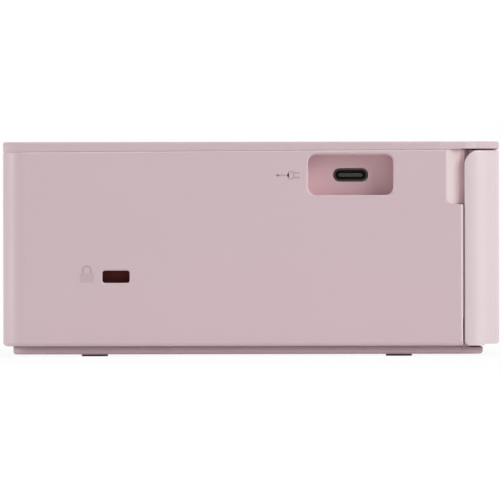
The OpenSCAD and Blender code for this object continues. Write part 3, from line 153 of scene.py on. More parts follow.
class StageSettings(bpy.types.PropertyGroup):
    frame_width: bpy.props.FloatProperty(
        name="Frame width", description="Width that the picture takes in at the near side",
        unit="LENGTH", default=0.13387)
    camera_distance: bpy.props.FloatProperty(
        name="Camera distance", description="From the near side to the camera",
        unit="LENGTH", default=4.0)
    camera_height: bpy.props.FloatProperty(
        name="Camera height", description="Height of the camera above the floor",
        unit="LENGTH", default=0.030)
    camera_aim: bpy.props.FloatVectorProperty(
        name="Camera aim", description="Middle of the picture, front to back and upwards",
        subtype="TRANSLATION", size=2, unit="LENGTH", default=(0.31 * MM, 28.5 * MM))
    camera_roll: bpy.props.FloatProperty(
        name="Camera roll", description="Turn of the picture about the line of sight",
        subtype="ANGLE", default=math.radians(-0.10))
    floor_size: bpy.props.FloatProperty(
        name="Floor size", description="Length of each side of the floor", unit="LENGTH", default=8.0)
    sky_level: bpy.props.FloatProperty(
        name="Sky level", description="Strength of the even light from all round", default=0.25)
    front_level: bpy.props.FloatProperty(
        name="Front light", description="Power of the large lamp before the front door", default=15.6)
    rear_level: bpy.props.FloatProperty(
        name="Rear light", description="Power of the lamp behind the rear corner", default=5.4)
    top_level: bpy.props.FloatProperty(
        name="Top light", description="Power of the large lamp above", default=5.2)


# Selecting, shaping and placing

def deselect_everything():
    if bpy.context.object and bpy.context.object.mode != "OBJECT":
        bpy.ops.object.mode_set(mode="OBJECT")
    bpy.ops.object.select_all(action="DESELECT")


def pick(*shapes):
    """Selects only these shapes, the last one active."""
    deselect_everything()
    for shape in shapes:
        shape.select_set(True)
        bpy.context.view_layer.objects.active = shape


def edit(shape):
    pick(shape)
    bpy.ops.object.mode_set(mode="EDIT")
    bpy.ops.mesh.select_mode(type="FACE")
    bpy.ops.mesh.select_all(action="SELECT")


def done():
    bpy.ops.object.mode_set(mode="OBJECT")


def select_faces(shape, test):
    """In edit mode, selects the faces whose centre passes a test."""
    bpy.ops.mesh.select_all(action="DESELECT")
    net = bmesh.from_edit_mesh(shape.data)
    for face in net.faces:
        face.select_set(test(face.calc_center_median()))
    bmesh.update_edit_mesh(shape.data)


def apply_place(shape, place=None):
    """Puts a shape where the matrix says, and writes its place into its mesh."""
    if place is not None:
        shape.matrix_world = place
    pick(shape)
    bpy.ops.object.transform_apply(location=True, rotation=True, scale=True)
    return shape


def join(parts):
    pick(*parts)
    if len(parts) > 1:
        bpy.ops.object.join()
    return bpy.context.object


def small_block(size, bevel, segments):
    """A block at the origin with broken edges."""
    bpy.ops.mesh.primitive_cube_add(size=1)
    block = bpy.context.object
    edit(block)
    bpy.ops.transform.resize(value=size)
    bpy.ops.mesh.bevel(offset=bevel, segments=segments, affect="EDGES")
    done()
    return block


def thicken(shape, thickness, offset):
    """Gives a flat shape thickness, above it with an offset of one, and to both sides with zero."""
    pick(shape)
    wall = shape.modifiers.new("thickness", "SOLIDIFY")
    wall.thickness = thickness
    wall.offset = offset
    bpy.ops.object.modifier_apply(modifier=wall.name)


def middle_of(node_name):
    low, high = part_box(node_name)
    return (low + high) / 2


def frame_face():
    """Where the face of the front frame stands, behind the front door."""
    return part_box("front_frame")[1].y - 8 * MM


def housing_front():
    """Where the sides of the housing end at the front door."""
    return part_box("card_socket")[0].y - 0.3 * MM


def both_sides(x, y, z):
    """Places that mirror each other on the left and the right side."""
    return [Matrix.Translation((side * x, y, z)) for side in (-1, 1)]


def copies(shape, places):
    """Repeats a shape at each place, every copy with its own mesh, and joins them."""
    made = []
    for place in places:
        copy = shape.copy()
        copy.data = shape.data.copy()
        bpy.context.scene.collection.objects.link(copy)
        copy.matrix_world = place
        made.append(copy)
    bpy.data.objects.remove(shape)
    return apply_place(join(made))


def settle(shape, name, body, finish):
    """Names a finished piece, gives it its material, and makes it ride on its body."""
    shape.name = name
    shape.data.name = name
    shape.data.materials.clear()
    shape.data.materials.append(finish)
    pick(shape)
    bpy.ops.object.shade_smooth_by_angle(angle=SMOOTH_ANGLE)
    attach(shape, body)


def facing(side, at):
    """Place of a flat symbol that faces one side, its own X to the right and its Y upwards."""
    right, up = {
        "left": ((0, -1, 0), (0, 0, 1)), "right": ((0, 1, 0), (0, 0, 1)),
        "front": ((1, 0, 0), (0, 0, 1)), "rear": ((-1, 0, 0), (0, 0, 1)),
        "top": ((1, 0, 0), (0, 1, 0)),
    }[side]
    right, up = Vector(right), Vector(up)
    place = Matrix((right, up, right.cross(up))).transposed().to_4x4()
    place.translation = Vector(at)
    return place


# Flat shapes that the symbols are made of, drawn in millimetres

def turned(shape, at=(0, 0), turn=0):
    shape.location = (at[0] * MM, at[1] * MM, 0)
    shape.rotation_euler = (0, 0, math.radians(turn))
    return apply_place(shape)


def flat_bar(width, height, at=(0, 0), corner=0.0):
    bpy.ops.mesh.primitive_plane_add(size=1)
    bar = bpy.context.object
    edit(bar)
    bpy.ops.transform.resize(value=(width * MM, height * MM, 1))
    if corner:
        bpy.ops.mesh.bevel(offset=corner * MM, segments=5, affect="VERTICES")
    done()
    return turned(bar, at)


def flat_frame(width, height, line, at=(0, 0), corner=0.0):
    """Outline of a rectangle: its face is inset and the middle taken out."""
    bar = flat_bar(width, height, corner=corner)
    edit(bar)
    bpy.ops.mesh.inset(thickness=line * MM)
    bpy.ops.mesh.delete(type="FACE")
    done()
    return turned(bar, at)


def flat_disc(radius, at=(0, 0), sides=40):
    bpy.ops.mesh.primitive_circle_add(vertices=sides, radius=radius * MM, fill_type="NGON")
    return turned(bpy.context.object, at)


def flat_ring(radius, line, at=(0, 0), gap=None):
    """Ring with an optional gap between two angles, in degrees from its own X."""
    disc = flat_disc(radius, sides=72)
    edit(disc)
    bpy.ops.mesh.inset(thickness=line * MM)
    bpy.ops.mesh.delete(type="FACE")
    if gap:
        low, high = gap
        bpy.ops.mesh.select_all(action="SELECT")
        select_faces(disc, lambda c: (math.degrees(math.atan2(c.y, c.x)) - low) % 360 < high - low)
        bpy.ops.mesh.delete(type="FACE")
    done()
    return turned(disc, at)


def flat_triangle(radius, at=(0, 0), point=0):
    """Triangle with soft corners whose first corner points along an angle."""
    bpy.ops.mesh.primitive_circle_add(vertices=3, radius=radius * MM, fill_type="NGON")
    shape = bpy.context.object
    first = shape.data.vertices[0].co
    edit(shape)
    bpy.ops.mesh.bevel(offset=0.12 * radius * MM, segments=3, affect="VERTICES")
    done()
    return turned(shape, at, point - math.degrees(math.atan2(first.y, first.x)))


def print_symbol(name, parts, place, body="chassis", finish="mark"):
    """Joins flat shapes into one symbol, gives it thickness and lays it on its surface."""
    shape = join(parts)
    thicken(shape, bpy.context.scene.printer_symbols.print_depth + SINK, 1)
    shape.location = (0, 0, -SINK)
    apply_place(shape)
    apply_place(shape, place)
    settle(shape, name, body, FINISH[finish])


# Nodes

def feed(socket, term):
    """Links an input to another node's output, or sets it to a plain value."""
    if isinstance(term, bpy.types.NodeSocket):
        socket.id_data.links.new(term, socket)
    else:
        socket.default_value = term


def fill(made, terms):
    """Feeds the inputs of a node by their names."""
    for label, term in terms.items():
        feed(made.inputs[label], term)


def node(tree, kind, *terms, **values):
    """A new node. Terms feed its inputs in their order. Values are its settings, or inputs by name."""
    made = tree.nodes.new(kind)
    for key, value in values.items():
        if hasattr(made, key):
            setattr(made, key, value)
        else:
            feed(made.inputs[key], value)
    for socket, term in zip(made.inputs, terms):
        feed(socket, term)
    return made


def worked(tree, operation, *terms, kind="ShaderNodeMath"):
    """What a math node makes of its terms."""
    return node(tree, kind, *terms, operation=operation).outputs[0]


def remap(tree, value, span=(0, 1), onto=(0, 1), kind="LINEAR"):
    """Takes a value from one span onto another."""
    made = node(tree, "ShaderNodeMapRange", value, *span, *onto, interpolation_type=kind)
    return made.outputs["Result"]


MIX_SOCKETS = {"FLOAT": (2, 3, 0), "RGBA": (6, 7, 2)}  # both inputs and the output, by kind


def mixed(tree, kind, mask, under, over):
    """Mix of two values or two colours. The second one shows where the mask is white."""
    made = node(tree, "ShaderNodeMix", data_type=kind)
    first, second, result = MIX_SOCKETS[kind]
    fill(made, {"Factor": mask, first: under, second: over})
    return made.outputs[result]


def object_place(tree):
    """The place of a point on the object."""
    return node(tree, "ShaderNodeTexCoord").outputs["Object"]


def stretched(tree, place, stretch):
    return node(tree, "ShaderNodeMapping", Vector=place, Scale=stretch).outputs["Vector"]


def axes_of(tree, vector):
    """The X, Y and Z of a vector, by name."""
    return node(tree, "ShaderNodeSeparateXYZ", vector).outputs


def noise(tree, place, scale, detail, **values):
    made = node(tree, "ShaderNodeTexNoise", Vector=place, Scale=scale, Detail=detail, **values)
    return made.outputs["Fac"]


def new_group(name, inputs, outputs):
    """A shader group. Gives its tree, what comes in, and the node that takes what goes out."""
    tree = bpy.data.node_groups.new(name, "ShaderNodeTree")
    for label, default in inputs.items():
        kind = "NodeSocketVector" if isinstance(default, tuple) else "NodeSocketFloat"
        socket = tree.interface.new_socket(name=label, in_out="INPUT", socket_type=kind)
        socket.default_value = default
    for label in outputs:
        tree.interface.new_socket(name=label, in_out="OUTPUT", socket_type="NodeSocketFloat")
    start, end = tree.nodes.new("NodeGroupInput"), tree.nodes.new("NodeGroupOutput")
    return tree, [start.outputs[label] for label in inputs], end


def group_node(tree, group, terms):
    """The outputs of a group's node, its inputs fed by their names."""
    made = tree.nodes.new("ShaderNodeGroup")
    made.node_tree = bpy.data.node_groups[group]
    fill(made, terms)
    return made.outputs


def surface_grain_group():
    """Fine grain of a surface, with a slow drift of tone and uneven gloss."""
    tree, (place, scale, drift), end = new_group(
        "surface grain", {"Place": (0, 0, 0), "Grain Scale": GRAIN_SCALE, "Drift": DRIFT},
        ["Height", "Tone", "Gloss"])
    slow = noise(tree, place, scale=22.0, detail=2.0)
    cloud = noise(tree, place, scale=90.0, detail=4.0)
    fill(end, {
        "Height": noise(tree, place, scale, detail=3.0, Roughness=0.6),
        "Tone": worked(tree, "MULTIPLY_ADD", slow, drift, 0.985),
        "Gloss": remap(tree, cloud, (0.3, 0.7), (-0.04, 0.04))})


def inside_box_group():
    """White inside a box given by its low and high corners, black outside."""
    tree, (place, low, high), end = new_group(
        "inside box", {"Place": (0, 0, 0), "Low": (-FAR,) * 3, "High": (FAR,) * 3},
        ["Mask"])
    vector = "ShaderNodeVectorMath"
    above = worked(tree, "SUBTRACT", place, low, kind=vector)
    below = worked(tree, "SUBTRACT", high, place, kind=vector)
    axes = axes_of(tree, worked(tree, "MINIMUM", above, below, kind=vector))
    least = worked(tree, "MINIMUM", axes["X"], axes["Y"])
    least = worked(tree, "MINIMUM", least, axes["Z"])
    fill(end, {"Mask": worked(tree, "GREATER_THAN", least, 0.0)})


def boxes_mask(tree, place, boxes):
    """White inside any of the boxes."""
    masks = [group_node(tree, "inside box", {"Place": place, "Low": low, "High": high})["Mask"]
             for low, high in boxes]
    whole = masks[0]
    for mask in masks[1:]:
        whole = worked(tree, "MAXIMUM", whole, mask)
    return whole


# Finishes

GRAIN_SCALE = 2600.0
DRIFT = 0.03
BROKEN_EDGE = 0.2 * MM
BLACK = (0.02, 0.02, 0.022)
SOLDER_MASK = (0.02, 0.13, 0.06)
ZINC = (0.55, 0.56, 0.58)
STEEL = (0.62, 0.63, 0.65)
METAL = {"scale": 1500.0, "depth": 0.004 * MM, "drift": 0.1}
PLATED = {"scale": 1500.0, "depth": 0.003 * MM}
RUBBER = {"scale": 1800.0, "drift": 0.2}


def new_finish(name):
    """A new node material, kept by its name, with its tree and its Principled shader."""
    made = bpy.data.materials.new(name)
    made.use_nodes = True
    FINISH[name] = made
    return made.node_tree, made.node_tree.nodes["Principled BSDF"]


def coat(colour, gloss, *boxes, metal=0.0):
    """One coat of a finish: its colour, roughness, metal and the boxes that it covers."""
    return {"colour": (*colour, 1), "gloss": gloss, "metal": metal, "boxes": boxes}


def finish(name, *coats, depth=None, scale=GRAIN_SCALE, drift=DRIFT, stretch=None, fade=None,
           sheen=0.5, edge=0.0):
    """A surface of grain and uneven gloss. The first coat covers all; each later coat covers its boxes.
    A fade is two heights and the share of the tone that is left at the second.
    Sheen is the specular level. Edge is the radius at which sharp corners look broken."""
    tree, shader = new_finish(name)
    place = object_place(tree)
    grain = group_node(tree, "surface grain", {
        "Place": stretched(tree, place, stretch) if stretch else place,
        "Grain Scale": scale, "Drift": drift})
    tone = grain["Tone"]
    if fade:
        left = remap(tree, axes_of(tree, place)["Z"], fade[:2], (1.0, fade[2]))
        tone = worked(tree, "MULTIPLY", tone, left)

    base = coats[0]
    scaled = node(tree, "ShaderNodeVectorMath", base["colour"][:3], operation="SCALE", Scale=tone)
    colour = scaled.outputs[0]
    rough = worked(tree, "ADD", grain["Gloss"], base["gloss"])
    metal = base["metal"]
    for layer in coats[1:]:
        mask = boxes_mask(tree, place, layer["boxes"])
        colour = mixed(tree, "RGBA", mask, colour, layer["colour"])
        rough = mixed(tree, "FLOAT", mask, rough, layer["gloss"])
        if metal != layer["metal"]:
            metal = mixed(tree, "FLOAT", mask, metal, layer["metal"])

    if depth is None:
        depth = bpy.context.scene.printer_finish.grain_depth
    bump = node(tree, "ShaderNodeBump", Distance=depth, Height=grain["Height"])
    if edge:
        soft = node(tree, "ShaderNodeBevel", samples=6, Radius=edge)
        fill(bump, {"Normal": soft.outputs["Normal"]})
    fill(shader, {"Base Color": colour, "Roughness": rough, "Metallic": metal,
                  "Specular IOR Level": sheen, "Normal": bump.outputs["Normal"]})


def slice_of(node_name, low=(None,) * 3, high=(None,) * 3):
    """Box round a CAD node, cut short where a bound is given, in mm from the node's low corner."""
    grow = 0.02 * MM
    start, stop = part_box(node_name)
    first = [start[i] - grow if low[i] is None else start[i] + low[i] * MM for i in range(3)]
    last = [stop[i] + grow if high[i] is None else start[i] + high[i] * MM for i in range(3)]
    return tuple(first), tuple(last)


def pink():
    return tuple(bpy.context.scene.printer_finish.shell_colour)


def highlight_cover_ends(reach):
    """Boxes over the front ends of the cover's two sides, which take a painted highlight."""
    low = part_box("top_cover")[0]
    inside, stop = low.x + 0.5 * MM, low.y + reach
    under, over = 50 * MM, 60 * MM
    return (((low.x - FAR, low.y - FAR, under), (inside, stop, over)),
            ((-inside, low.y - FAR, under), (FAR, stop, over)))


def cover_finish():
    """Painted highlight: paler towards the front ends of the cover's sides, in two steps, and a little
    paler than the shell all over for the sheen it was given less of.
    """
    finish("cover", coat((0.655, 0.505, 0.538), 0.56),
           coat((0.685, 0.545, 0.57), 0.52, *highlight_cover_ends(16 * MM)),
           coat((0.715, 0.585, 0.595), 0.48, *highlight_cover_ends(9 * MM)), sheen=0.35, edge=0.06 * MM)


def seam_highlight_rim():
    """Boxes along the slanting seam, each from a little below it upwards, for the painted highlight on
    the housing's top edge.
    """
    trim = bpy.context.scene.printer_trim
    rear = CAD_BOX[1].y
    below = 0.42 * MM
    steps = [rear * (i / 5 - 1) for i in range(1, 11)]
    boxes = []
    for start, stop in zip(steps, steps[1:]):
        seam = trim.seam_height - trim.seam_rise * stop / (2 * rear)
        boxes.append(((-FAR, start, seam - below), (FAR, stop, FAR)))
    return boxes


def front_strip(before, behind, foot, top):
    """Box along the front edge of the housing, with its reach and its heights in mm."""
    front = housing_front()
    return (-FAR, front - before * MM, foot * MM), (FAR, front + behind * MM, top * MM)


def housing_finish():
    """Painted highlights beside the door, under the seam and in the notches, where the housing is paler;
    and painted shade in the pocket, which is redder for the pink light bouncing in it.
    """
    side_foot, notch_foot, notch_top = 4, 41, 55.2
    side, (low, high) = CAD_BOX[0].x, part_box("usb_socket")
    # painted shade: the pocket round the cable port is redder, for the pink light bouncing in it
    pocket = ((side + 0.5 * MM, low.y - 8 * MM, low.z - 6 * MM),
              (side + 21 * MM, high.y + 8 * MM, 54.5 * MM))
    finish("housing", coat(pink(), 0.44),
           coat((0.80, 0.70, 0.69), 0.35, front_strip(0.05, 0.4, side_foot, notch_foot)),
           coat((0.82, 0.68, 0.71), 0.36, *seam_highlight_rim()),
           coat((0.69, 0.56, 0.56), 0.40, front_strip(1, 4.7, notch_foot, notch_top)),
           coat((0.86, 0.62, 0.65), 0.45, front_strip(1, 1.5, notch_foot, notch_top)),
           coat((0.69, 0.475, 0.51), 0.50, pocket), sheen=0.8, edge=BROKEN_EDGE)


def outer_finishes():
    """Mouldings, feet, keys and symbols on the outside."""
    look = bpy.context.scene.printer_finish
    finish("shell", coat(pink(), 0.44), sheen=0.8, edge=BROKEN_EDGE)
    cover_finish()
    # painted highlight: the door's paler pink stands in for the sheen on its curved corners
    finish("door", coat(look.door_colour, 0.37), sheen=1.0, edge=BROKEN_EDGE)
    housing_finish()
    # painted shade: the base is darker where it goes up under the housing
    finish("base", coat(look.base_colour, 0.5), fade=(1.2 * MM, 2.8 * MM, 0.64))
    finish("front frame", coat(look.base_colour, 0.5))
    # painted light: pale pink that lightens the shaded seam under the cover and the shade behind the
    # door's corners
    finish("lip", coat((0.85, 0.68, 0.72), 0.5))
    # painted shade: the dark red of the shaded gap beside the door
    finish("seal", coat((0.36, 0.19, 0.22), 0.5))
    # painted light: the pale pink of the lit finger notches
    finish("notch seal", coat((0.86, 0.62, 0.65), 0.5))
    finish("foot rubber", coat((0.170, 0.136, 0.140), 0.7), **RUBBER)
    finish("keys", coat(pink(), 0.44), scale=3400.0, sheen=0.4)
    finish("mark", coat(look.mark_colour, 0.5))
    finish("faint mark", coat([0.9 * level for level in pink()], 0.5))
    finish("cassette mark", coat((0.30, 0.32, 0.36), 0.45))
    finish("key mark", coat((0.20, 0.15, 0.165), 0.45))


def plain_finishes():
    """Metals, mouldings and rubber of the pieces inside."""
    finish("rubber", coat((0.045, 0.043, 0.045), 0.72), **RUBBER)
    finish("zinc", coat(ZINC, 0.34, metal=1.0), **METAL)
    finish("steel", coat(STEEL, 0.2, metal=1.0), **METAL, stretch=(14, 1, 1))
    finish("aluminium", coat((0.70, 0.71, 0.73), 0.36, metal=1.0), **METAL, stretch=(0.05, 1, 1))
    finish("black moulding", coat(BLACK, 0.45), drift=0.2)
    finish("acetal", coat((0.78, 0.77, 0.73), 0.34))
    finish("cassette grey", coat((0.60, 0.62, 0.66), 0.42))
    finish("lever blue", coat((0.21, 0.27, 0.43), 0.4))
    finish("gold", coat((0.83, 0.60, 0.26), 0.22, metal=1.0), **PLATED)
    finish("tinned pins", coat((0.66, 0.66, 0.66), 0.3, metal=1.0), **PLATED)


def smoked_window():
    """Dark clear window. The display's lit area is a little bluer than its black border."""
    tree, shader = new_finish("smoked window")
    place = object_place(tree)
    low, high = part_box("display_window")
    side, front, rear = 5.5 * MM, 6 * MM, 5 * MM
    lit = ((low.x + side, low.y + front, -FAR), (high.x - side, high.y - rear, FAR))
    border_tone, lit_tone = (0.006, 0.006, 0.007, 1), (0.022, 0.024, 0.032, 1)
    fill(shader, {
        "Base Color": mixed(tree, "RGBA", boxes_mask(tree, place, [lit]), border_tone, lit_tone),
        "Roughness": remap(tree, noise(tree, place, scale=60.0, detail=4.0), onto=(0.03, 0.10)),
        "Coat Weight": 1.0, "Coat Roughness": 0.02})


def film_bands():
    """Dye film: one colour of dye follows the next, with a black line between them."""
    tree, shader = new_finish("dye film")
    place = object_place(tree)
    low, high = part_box("ribbon_film")
    ramp = node(tree, "ShaderNodeValToRGB", remap(tree, axes_of(tree, place)["Y"], (low.y, high.y)))
    ramp.color_ramp.interpolation = "CONSTANT"
    stops = ramp.color_ramp.elements
    stops[0].color = (0.42, 0.02, 0.16, 1)
    stops[1].position = 0.46
    stops[1].color = (0.01, 0.01, 0.01, 1)
    stops.new(0.5).color = (0.02, 0.16, 0.42, 1)
    wrinkle = noise(tree, stretched(tree, place, (0.1, 1, 1)), scale=240.0, detail=3.0)
    bump = node(tree, "ShaderNodeBump", Distance=0.03 * MM, Height=wrinkle)
    fill(shader, {"Base Color": ramp.outputs["Color"], "Normal": bump.outputs["Normal"],
                  "Roughness": remap(tree, wrinkle, onto=(0.1, 0.26))})


def port_finishes():
    """Cable receptacle, lock plate and inlet."""
    # painted shade: the receptacle is dark metal, and darker still inside, for the shade in the port
    inside = slice_of("usb_socket", (0.25, 0.15, 0.15), (7.0, 8.75, 3.05))
    finish("port shell", coat((0.07, 0.06, 0.06), 0.25, metal=1.0),
           coat((0.03, 0.025, 0.025), 0.5, inside), **PLATED)
    # painted shade: the lock plate's dark red is the shaded pink seen inside the lock slot
    finish("dark paint", coat((0.34, 0.085, 0.075), 0.6), scale=1500.0, depth=0.006 * MM, drift=0.2,
           sheen=0.2)
    # the inlet has a bright contact on its axis
    low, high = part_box("dc_jack")
    x, z, reach = (low.x + high.x) / 2, high.z - 5 * MM, 1.1 * MM
    contact = ((x - reach, low.y, z - reach), (x + reach, high.y, z + reach))
    finish("inlet", coat(BLACK, 0.42), coat((0.80, 0.72, 0.50), 0.25, contact, metal=1.0), drift=0.2)


def board_finishes():
    """Boards, with the chips, switches and other parts that stand on them."""
    board = "main_board"
    finish("main board", coat(SOLDER_MASK, 0.35),
           coat(BLACK, 0.5, slice_of(board, (24.9, 8.2, 1.62), (53.1, 22.4, None))),
           coat((0.72, 0.68, 0.58), 0.45, slice_of(board, (8.9, 6.2, 1.62), (16.1, 10.4, None))),
           drift=0.2)
    board = "power_board"
    finish("power board", coat((0.13, 0.075, 0.02), 0.4),
           coat((0.03, 0.04, 0.09), 0.35, slice_of(board, (1.9, 7.9, 1.62), (10.1, 40.1, None))),
           coat((0.75, 0.75, 0.76), 0.3, slice_of(board, (1.9, 7.9, 9.38), (10.1, 40.1, None)),
                slice_of(board, (13.3, 7.9, 1.62), (19.5, 32.1, None)), metal=1.0),
           coat((0.70, 0.55, 0.12), 0.4, slice_of(board, (2.9, 45.9, 1.62), (15.1, 58.1, None))),
           coat((0.75, 0.72, 0.64), 0.45, slice_of(board, (17.3, 49.9, 1.62), (21.5, 62.1, None))),
           drift=0.2)
    board = "key_board"
    finish("key board", coat(SOLDER_MASK, 0.35),
           coat(STEEL, 0.35, slice_of(board, (None, None, 0.82)), metal=0.8),
           coat(BLACK, 0.4, slice_of(board, (None, None, 2.32))), drift=0.2)


def mechanism_finishes():
    """Motors, print head and card socket."""
    # motors: bright can, dark end cap
    for motor, start, stop in (("feed", 21.5, 24.45), ("ribbon", 1.45, 3.4)):
        cap = slice_of(motor + "_motor", (start, None, None), (stop, None, None))
        finish(motor + " motor", coat(STEEL, 0.28, metal=1.0), coat(BLACK, 0.45, cap), **METAL)
    # print head's strip: glazed ceramic with a dark heater bead
    finish("heater strip", coat((0.85, 0.84, 0.80), 0.15),
           coat((0.10, 0.06, 0.05), 0.12, slice_of("head_bar", high=(None, None, 0.5))))
    # card socket: plated shell with a black moulding inside
    finish("card socket", coat(ZINC, 0.3, metal=1.0),
           coat(BLACK, 0.5, slice_of("card_socket", (0.68, None, 2.38), (25.12, None, 4.82))), **METAL)


def make_finishes():
    surface_grain_group()
    inside_box_group()
    outer_finishes()
    plain_finishes()
    smoked_window()
    film_bands()
    port_finishes()
    board_finishes()
    mechanism_finishes()


FINISH_OF_SLOT = {
    "pink_shell": "shell", "pink_base": "base", "pink_key": "keys", "window_glass": "smoked window",
    "dark_rubber": "rubber", "sheet_steel": "zinc", "ground_steel": "steel",
    "cast_aluminium": "aluminium", "board_green": "main board", "black_plastic": "black moulding",
    "gear_plastic": "acetal", "cassette_plastic": "cassette grey", "ribbon_purple": "dye film",
    "lever_blue": "lever blue", "ceramic_white": "heater strip",
}
FINISH_OF_NODE = {
    "usb_socket": "port shell", "lock_plate": "dark paint", "front_door": "door",
    "main_housing": "housing", "top_cover": "cover", "front_frame": "front frame",
    "rubber_feet": "foot rubber", "dc_jack": "inlet", "power_board": "power board",
    "key_board": "key board", "feed_motor": "feed motor", "ribbon_motor": "ribbon motor",
    "card_socket": "card socket",
}


class PRINTER_OT_finish_cad(bpy.types.Operator):
    """Give every CAD part the finish of its material slot, or its own where it has one"""
    bl_idname = "printer.finish_cad"
    bl_label = "Finish CAD Parts"

    def execute(self, context):
        make_finishes()
        for name, shape in NODES.items():
            shape.data.materials.clear()
            kind = FINISH_OF_NODE.get(name, FINISH_OF_SLOT[SLOT_OF[name]])
            shape.data.materials.append(FINISH[kind])
        return {"FINISHED"}


# Symbols

class PRINTER_OT_side_symbols(bpy.types.Operator):
    """Lay the plug and padlock symbols on the left side"""
    bl_idname = "printer.side_symbols"
    bl_label = "Side Symbols"

    def execute(self, context):
        look = context.scene.printer_symbols
        line = look.line / MM
        fine_line = 0.8 * line
        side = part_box("main_housing")[0].x
        # plug: end of the cable, cable, shell, grip and two prongs
        plug = [flat_disc(0.42, (-2.9, 0)), flat_bar(2.9, fine_line, (-1.4, 0)),
                flat_frame(1.7, 2.3, fine_line, (0.85, 0), 0.35), flat_bar(0.5, 1.1, corner=0.12),
                *[flat_bar(1.5, line, (2.4, v), corner=0.15) for v in (0.62, -0.62)]]
        print_symbol("plug_symbol", plug, facing("left", (side, *look.plug_place)))
        # padlock: body, and a bow that goes down into it
        body_height, bow = 2.63, 1.3
        top = body_height / 2
        place = facing("left", (side, *look.padlock_place))
        body = flat_bar(3.8, body_height, corner=0.3)
        print_symbol("padlock_body", [body], place, finish="faint mark")
        padlock = [flat_ring(bow, line, (0, top + 0.75), (180, 360)),
                   *[flat_bar(line, 0.85, (s * (bow - line / 2), top + 0.35)) for s in (-1, 1)]]
        print_symbol("padlock_bow", padlock, place)
        return {"FINISHED"}


class PRINTER_OT_key_symbols(bpy.types.Operator):
    """Lay a symbol on the top of every key"""
    bl_idname = "printer.key_symbols"
    bl_label = "Key Symbols"

    def execute(self, context):
        line = context.scene.printer_symbols.line / MM
        drawn = {
            "power_key": [flat_ring(1.8, line, (0, -0.15), (55, 125)),
                          flat_bar(line, 1.8, (0, 1.0), corner=0.2)],
            "menu_key": [flat_bar(3.6, line, (0, v), corner=0.2) for v in (-1.2, 0, 1.2)],
            "edit_key": [flat_bar(3.8, line * 0.7, (0, 0.9)), flat_bar(3.8, line * 0.7, (0, -0.9)),
                         flat_disc(0.62, (0.8, 0.9)), flat_disc(0.62, (-0.8, -0.9))],
            "back_key": [flat_ring(1.35, line, (0.35, 0), (90, 270)), flat_bar(1.7, line, (-0.5, 1.125)),
                         flat_bar(1.3, line, (-0.3, -1.125)), flat_triangle(0.85, (-1.55, 1.125), 180)],
            "print_key": [flat_frame(3.6, 2.0, line, (0, 0.1), 0.3),
                          flat_bar(2.2, line, (0, 1.75), corner=0.15),
                          flat_frame(2.2, 1.6, line * 0.8, (0, -1.2), 0.1)],
            "ok_key": [flat_ring(2.5, line), flat_disc(0.8)],
        }
        for key, parts in drawn.items():
            middle, top = middle_of(key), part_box(key)[1].z
            place = facing("top", (middle.x, middle.y, top))
            print_symbol(key + "_symbol", parts, place, key, "key mark")
        # arrows on the ring point outwards from the centre key
        middle = middle_of("ok_key")
        arrow_ring = 12.6
        for key, angle in (("right_key", 0), ("up_key", 90), ("left_key", 180), ("down_key", 270)):
            turn = math.radians(angle)
            out = Vector((math.cos(turn), math.sin(turn), 0)) * arrow_ring * MM
            place = facing("top", (middle.x + out.x, middle.y + out.y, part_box(key)[1].z))
            arrow = flat_triangle(1.3, point=angle)
            print_symbol(key + "_symbol", [arrow], place, key, "key mark")
        return {"FINISHED"}


class PRINTER_OT_port_symbols(bpy.types.Operator):
    """Lay the memory card symbol in the front frame and the power symbol beside the inlet"""
    bl_idname = "printer.port_symbols"
    bl_label = "Port Symbols"

    def execute(self, context):
        line = context.scene.printer_symbols.line / MM
        middle, top = middle_of("card_socket"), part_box("card_socket")[1].z
        card = [flat_frame(3.2, 4.2, line * 0.8, corner=0.3),
                *[flat_bar(0.35, 0.9, (u, 1.2)) for u in (-0.7, 0, 0.7)]]
        print_symbol("card_symbol", card, facing("front", (middle.x, frame_face(), top + 4.5 * MM)))
        # direct current: a line over three dashes
        middle, top = middle_of("dc_jack"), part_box("dc_jack")[1].z
        inlet = [flat_bar(4.2, line, (0, 0.45)),
                 *[flat_bar(1.05, line, (u, -0.45)) for u in (-1.57, 0, 1.57)]]
        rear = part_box("main_housing")[1].y
        print_symbol("direct_current_symbol", inlet, facing("rear", (middle.x, rear, top + 3.2 * MM)))
        return {"FINISHED"}


# Port, boards, cassette, shafts and seams

class PRINTER_OT_port_contacts(bpy.types.Operator):
    """Set the rows of contacts on the cable port's tongue"""
    bl_idname = "printer.port_contacts"
    bl_label = "Port Contacts"

    def execute(self, context):
        look = context.scene.printer_port
        low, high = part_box("usb_tongue")
        middle = middle_of("usb_tongue")
        pad = small_block((3.0 * MM, look.contact_pitch * 0.55, 0.05 * MM), 0.01 * MM, 2)
        span = (look.contacts - 1) / 2
        places = [Matrix.Translation((low.x + 1.9 * MM, middle.y + (i - span) * look.contact_pitch, z))
                  for i in range(look.contacts) for z in (low.z, high.z)]
        settle(copies(pad, places), "port_contacts", "chassis", FINISH["gold"])
        return {"FINISHED"}


# Chips of the main board: low and high corner in mm from the board's corner, and the sides with pins
CHIPS = (((25, 8.3), (39, 22.3), (0, 90, 180, 270)), ((45, 10.3), (53, 16.3), (90, 270)))
BOARD_THICKNESS = 1.6 * MM


